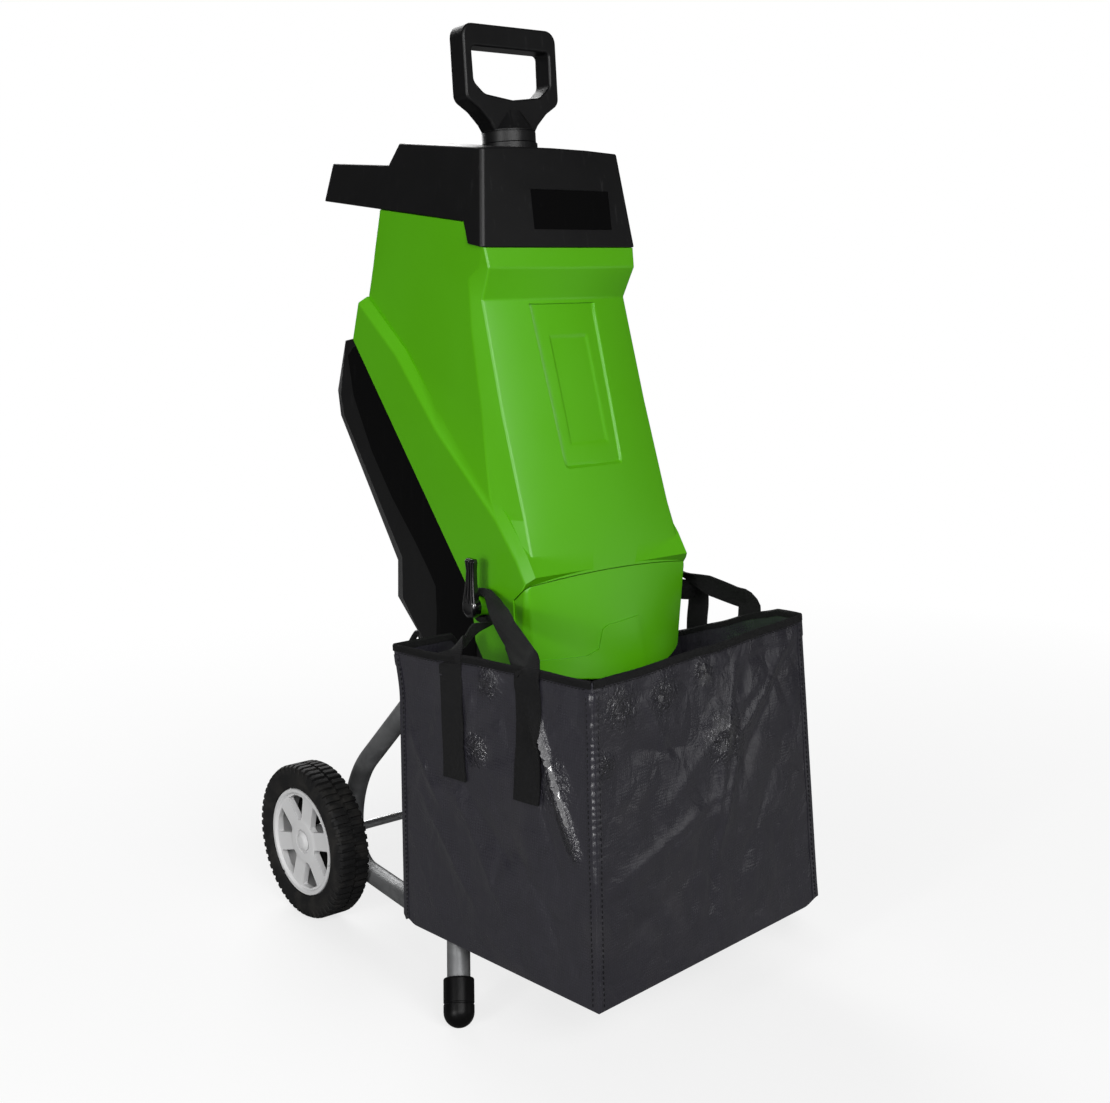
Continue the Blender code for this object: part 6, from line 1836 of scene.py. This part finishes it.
            Bench.soften(tape, 0.0, smooth_angle=50.0)
            Bench.rest(tape, "bag", material)
        Bench.rest(self.stitches(), "bag", finishes.thread)
        for side, leg_y in ((Side.LEFT, (-0.0450, -0.1480)), (Side.RIGHT, (0.0, -0.0800))):
            Strap(side, self, leg_y).build(finishes)

    @staticmethod
    def inner(share: float) -> float:
        """Return 1 at a wall's middle, falling to 0 at its corners."""
        return math.sin(math.pi * share) ** 0.5 if 0.0 < share < 1.0 else 0.0

    def push(self, wall: str, share: float, rise: float, spot: Vector, height: float) -> float:
        """Return how far the cloth stands out from a wall's flat place.

        Args:
            wall: which wall.
            share: place across it.
            rise: place up it.
            spot: the flat place's X and Y.
            height: the flat place's height.

        Returns:
            The distance, outwards.
        """
        inner = self.inner(share)
        hold = smooth(0.0, 0.10, rise) * (1.0 - 0.55 * smooth(0.90, 1.0, rise))
        place_on = Vector((spot.x, spot.y, height))
        push = inner * hold * (self.crease(wall, share, rise) + self.crumple(place_on))
        for name, across, up, wide, deep in self.zones:
            if name == wall:
                near = math.exp(-((share - across) ** 2 + (rise - up) ** 2) / wide ** 2)
                push += inner * deep * near * (noise.ridged_multi_fractal(
                    place_on * 55.0, 0.8, 2.1, 2, 1.0, 2.0, noise_basis="PERLIN_ORIGINAL") - 1.0)
        if wall == "back":
            return 0.25 * min(push, 0.0)
        push += self.belly * math.sin(math.pi * share) * math.sin(math.pi * rise)
        return push + self.hem_stand * smooth(0.926, 0.932, rise)

    def side_push(self, side: Side, y: float, height: float) -> float:
        """Return how far the cloth stands out from the left or right wall's flat place."""
        wall, ends = ("left", (3, 0)) if side is Side.LEFT else ("right", (1, 2))
        first, last = self.corner(ends[0], height), self.corner(ends[1], height)
        share = min(0.999, max(0.001, (y - first.y) / (last.y - first.y)))
        flat = first.lerp(last, share)
        rise = (height - self.low_z) / (self.rim_z(flat.x, flat.y) - self.low_z)
        return self.push(wall, share, min(1.0, max(0.0, rise)), flat, height)

    def point(self, wall: str, share: float, rise: float, stand: float = 0.0) -> tuple[Vector, float]:
        """Return a point of the cloth.

        Args:
            wall: which wall.
            share: place across it, from its first corner.
            rise: place up it.
            stand: distance out from the cloth.

        Returns:
            The point in the frame, and the wall's width there.
        """
        first, last = self.walls[wall]
        start, end = self.corner(first, self.low_z), self.corner(last, self.low_z)
        flat = start.lerp(end, share)
        if wall == "back":
            x = self.back_point(share, self.rim_back).x
            flat = start.lerp(end, (x - start.x) / (end.x - start.x))
        top = self.rim_z(flat.x, flat.y)
        height = self.low_z + rise * (top - self.low_z)
        run = self.corner(last, height) - self.corner(first, height)
        spot = self.corner(first, height) + run * share
        out = Vector((run.y, -run.x)).normalized()
        if out.dot(spot - Vector(self.middle)) < 0.0:
            out = -out
        if wall == "back":
            spot = self.back_point(share, height)
        push = self.push(wall, share, rise, spot, height) + stand
        sag = -self.sag * math.sin(math.pi * share) * smooth(0.7, 1.0, rise) if wall == "front" else 0.0
        wave = self.wave * math.sin(share * 17.0 + 1.3) * smooth(0.85, 1.0, rise) * self.inner(share)
        edge = {"left": share, "front": 1.0 - share}.get(wall, min(share, 1.0 - share))
        lift = self.corner_lift * (1.0 - smooth(0.0, 0.07, edge)) * (1.0 - smooth(0.0, 0.10, rise))
        return place(spot.x + out.x * push, spot.y + out.y * push, height + sag + wave + lift), run.length

    def glint(self, wall: str, share: float, rise: float) -> float:
        """Return how far the film is puckered and shiny at a place, 0 to 1."""
        shine = 0.0
        for name, across, up, wide, _ in self.zones:
            if name == wall:
                shine = max(shine, math.exp(-((share - across) ** 2 + (rise - up) ** 2) / (0.6 * wide) ** 2))
        if wall == "left":
            _, a0, r0, a1, r1, _, wide = self.creases[0]
            start, run = Vector((a0, r0)), Vector((a1 - a0, r1 - r0))
            off = Vector((share, rise)) - start
            along = off.dot(run) / run.length_squared
            near = math.exp(-((off - run * along).length / (1.6 * wide)) ** 2)
            shine = max(shine, near * smooth(-0.05, 0.05, along) * (1.0 - smooth(0.9, 1.05, along)))
        return shine

    def lay_down(self, vert: bpy.types.MeshVertex) -> tuple[Pair, float]:
        """Move one vertex of the plain cube onto its wall of the bag.

        Args:
            vert: the vertex, whose place in the cube says its wall, share and rise.

        Returns:
            Its place on the flat cloth in metres, and how shiny the film is there.
        """
        a, b, c = vert.co
        rise = (c + 1.0) / 2.0
        if abs(b) > 0.999:
            wall, share = "front" if b < 0.0 else "back", (a + 1.0) / 2.0
        else:
            wall, share = ("left", (1.0 - b) / 2.0) if a < 0.0 else ("right", (b + 1.0) / 2.0)
        vert.co, width = self.point(wall, share, rise)
        flat = (share * width + 0.7 * list(self.walls).index(wall), rise * (self.top_z - self.low_z))
        return flat, self.glint(wall, share, rise)

    def tape(self, name: str, rows: Sequence[Sequence[Vector]]) -> Piece:
        """Lay a strip of tape through rows of points, with its own flat lay in metres."""
        strip = Bench.sheet(name, rows, lambda column, row: (column * 0.003, row * 0.004))
        Bench.modify(strip, "SOLIDIFY", thickness=self.tape_thin, offset=0.0)
        return strip

    def binding(self) -> Piece:
        """Fold the rim's tape over the edge, all the way round."""
        outside, over, inside = self.tape_stand
        rows = []
        for wall in ("front", "right", "back", "left"):
            for step in range(self.rim_steps + (wall == "left")):
                share = step / self.rim_steps
                share = 1.0 - share if wall == "back" else share
                share = min(0.9985, max(0.0015, share))
                row = [self.point(wall, share, rise, outside)[0] for rise in (0.980, 0.986, 0.993, 0.999)]
                row.append(self.point(wall, share, 1.0, over)[0] + Z_AXIS * self.thin)
                row += [self.point(wall, share, rise, inside)[0] for rise in (0.999, 0.990, 0.980)]
                rows.append(row)
        return self.tape("rim_tape", rows)

    def corner_tapes(self) -> list[Piece]:
        """Lay a tape up each corner, round from one wall to the next."""
        corners = (("left", 1.0, "front", 0.0), ("front", 1.0, "right", 0.0), ("right", 1.0, "back", 1.0),
                   ("left", 0.0, "back", 0.0))
        tapes = []
        for wall_a, end_a, wall_b, end_b in corners:
            rows = []
            for step in range(self.tape_steps + 1):
                rise = 0.004 + 0.964 * step / self.tape_steps
                sewn = smooth(0.30, 0.62, rise) if wall_b == "front" and end_b == 0.0 else 0.0
                pucker = abs(math.sin(math.pi * 44.0 * rise + math.sin(31.0 * rise)))
                stand = 0.0004 + self.tape_bump * sewn * pucker
                rows.append([self.point(wall, abs(end - share), rise, stand)[0] for wall, end, share in (
                    (wall_a, end_a, 0.030), (wall_a, end_a, 0.015), (wall_a, end_a, 0.003),
                    (wall_b, end_b, 0.003), (wall_b, end_b, 0.012), (wall_b, end_b, 0.024))])
            tapes.append(self.tape("corner_tape", rows))
        return tapes

    def stitches(self) -> Piece:
        """Sew rows of short stitches along the rim's tape and up the corner tapes."""
        seats = []
        for wall in ("front", "left", "right"):
            for step in range(self.rim_stitches):
                share = 0.035 + 0.93 * step / (self.rim_stitches - 1)
                seats.append([self.point(wall, share + shift, *self.rim_seam)[0]
                              for shift in (-0.0035, 0.0035)])
        for wall, share in (("front", 0.019), ("left", 0.976), ("front", 0.981), ("left", 0.024)):
            for step in range(self.tape_stitches):
                rise = 0.02 + 0.93 * step / (self.tape_stitches - 1)
                seats.append([self.point(wall, share, rise + shift, 0.0012)[0]
                              for shift in (-0.0045, 0.0045)])
        dash = Bench.box("stitch", (self.thread, self.thread, 1.0), (0.0, 0.0, 0.5))
        copies = []
        for start, end in seats:
            run = end - start
            copy = dash.copy()
            copy.data = dash.data.copy()
            bpy.context.scene.collection.objects.link(copy)
            copy.matrix_world = (Matrix.Translation(start) @ run.to_track_quat("Z", "Y").to_matrix().to_4x4()
                                 @ Matrix.Diagonal((1.0, 1.0, run.length, 1.0)))
            copies.append(copy)
        bpy.data.objects.remove(dash)
        return Bench.settle(Bench.gather("stitches", copies))


@dataclass
class Studio:
    """Pale floor, soft lamps and the camera."""

    lens: float = 51.91
    eye: Triple = (-1.1720, -1.3955, 0.8050)
    azimuth: float = math.radians(39.97)
    pitch: float = math.radians(10.62)
    aim: Vector = field(default_factory=lambda: Vector((0.0, 0.0, 0.5)))
    lamps: tuple[tuple[str, Point, Pair, float], ...] = (
        ("key_lamp", (-1.25, -3.35, 2.15), (3.2, 1.4), 126.0),
        ("fill_lamp", (-3.3, -1.1, 1.0), (1.8, 1.8), 41.0),
        ("side_lamp", (2.3, -2.7, 0.5), (1.6, 1.6), 8.0), ("rim_lamp", (0.9, 3.0, 1.9), (2.2, 2.0), 78.0),
        ("spark_lamp", (-3.0, -0.9, 1.0), (0.3, 0.3), 18.0))
    surround: float = 0.08

    def build(self) -> None:
        """Set up the stage."""
        self.camera()
        self.floor()
        for lamp in self.lamps:
            self.lamp(*lamp)
        self.world()
        bpy.context.scene.view_settings.view_transform = "Standard"

    def camera(self) -> None:
        """Add the camera at the photograph's viewing angle."""
        data = bpy.data.cameras.new("camera")
        data.lens = self.lens
        data.sensor_width = 36.0
        data.clip_start, data.clip_end = 0.05, 60.0
        camera = bpy.data.objects.new("camera", data)
        bpy.context.scene.collection.objects.link(camera)
        camera.location = self.eye
        level = math.cos(self.pitch)
        way = Vector((math.sin(self.azimuth) * level, math.cos(self.azimuth) * level, -math.sin(self.pitch)))
        camera.rotation_euler = way.to_track_quat("-Z", "Y").to_euler()
        bpy.context.scene.camera = camera

    def floor(self) -> None:
        """Add the floor, which fades into plain white away from the machine."""
        bpy.ops.mesh.primitive_plane_add(size=40.0, location=(0.0, 0.0, -0.0005))
        floor = bpy.context.object
        floor.name = "floor"
        graph = Graph("pale floor")
        near = graph.shader
        graph.into("Roughness", 0.9)
        speck = graph.clouds(graph.mapped(), 3.0, 4.0)
        seen = graph.node("ShaderNodeLightPath")
        pale = graph.blend(speck, (0.94, 0.94, 0.94), (0.97, 0.97, 0.97))
        graph.into("Base Color", graph.blend(seen.outputs["Is Camera Ray"], (0.20, 0.20, 0.20), pale))
        away = graph.node("ShaderNodeVectorMath", operation="LENGTH")
        graph.wire(graph.source.outputs["Object"], away.inputs[0])
        white = graph.node("ShaderNodeEmission")
        white.inputs["Color"].default_value = (1.0, 1.0, 1.0, 1.0)
        mix = graph.node("ShaderNodeMixShader")
        fade = graph.maths("MULTIPLY", graph.spread(away.outputs["Value"], 0.72, 1.0, 0.5, 2.0),
                           seen.outputs["Is Camera Ray"])
        graph.wire(fade, mix.inputs[0])
        graph.wire(near.outputs[0], mix.inputs[1])
        graph.wire(white.outputs[0], mix.inputs[2])
        graph.wire(mix.outputs[0], graph.tree.nodes["Material Output"].inputs["Surface"])
        floor.data.materials.append(graph.material)

    def lamp(self, name: str, spot: Point, size: Pair, power: float) -> None:
        """Add one soft lamp, wide by tall, that looks at the machine."""
        data = bpy.data.lights.new(name, "AREA")
        data.shape = "RECTANGLE"
        data.size, data.size_y = size
        data.energy = power
        lamp = bpy.data.objects.new(name, data)
        bpy.context.scene.collection.objects.link(lamp)
        lamp.location = spot
        lamp.rotation_euler = (self.aim - Vector(spot)).to_track_quat("-Z", "Y").to_euler()

    def world(self) -> None:
        """Light the machine evenly, and show the camera a white surrounding."""
        world = bpy.data.worlds.new("studio")
        bpy.context.scene.world = world
        world.use_nodes = True
        tree = world.node_tree
        tree.nodes.clear()
        rays = tree.nodes.new("ShaderNodeLightPath")
        seen = tree.nodes.new("ShaderNodeMath")
        seen.operation = "MAXIMUM"
        mix = tree.nodes.new("ShaderNodeMixShader")
        out = tree.nodes.new("ShaderNodeOutputWorld")
        for index, strength in ((1, self.surround), (2, 1.0)):
            glow = tree.nodes.new("ShaderNodeBackground")
            glow.inputs["Color"].default_value = (1.0, 1.0, 1.0, 1.0)
            glow.inputs["Strength"].default_value = strength
            tree.links.new(glow.outputs[0], mix.inputs[index])
        tree.links.new(rays.outputs["Is Camera Ray"], seen.inputs[0])
        tree.links.new(rays.outputs["Is Transmission Ray"], seen.inputs[1])
        tree.links.new(seen.outputs[0], mix.inputs[0])
        tree.links.new(mix.outputs[0], out.inputs["Surface"])


def main() -> None:
    """Build the stage and every piece of the machine, in order."""
    logging.basicConfig(level=logging.INFO, format="%(message)s")
    Studio().build()
    finishes = Finishes()
    HopperHood().build(finishes)
    Plunger().build(finishes)
    Tower().build(finishes)
    for side in Side:
        LockingLever(side).build(finishes)
    DriveBase().build(finishes)
    Stand().build(finishes)
    for side in Side:
        Wheel(side).build(finishes)
    CollectionBag().build(finishes)


if __name__ == "__main__":
    main()
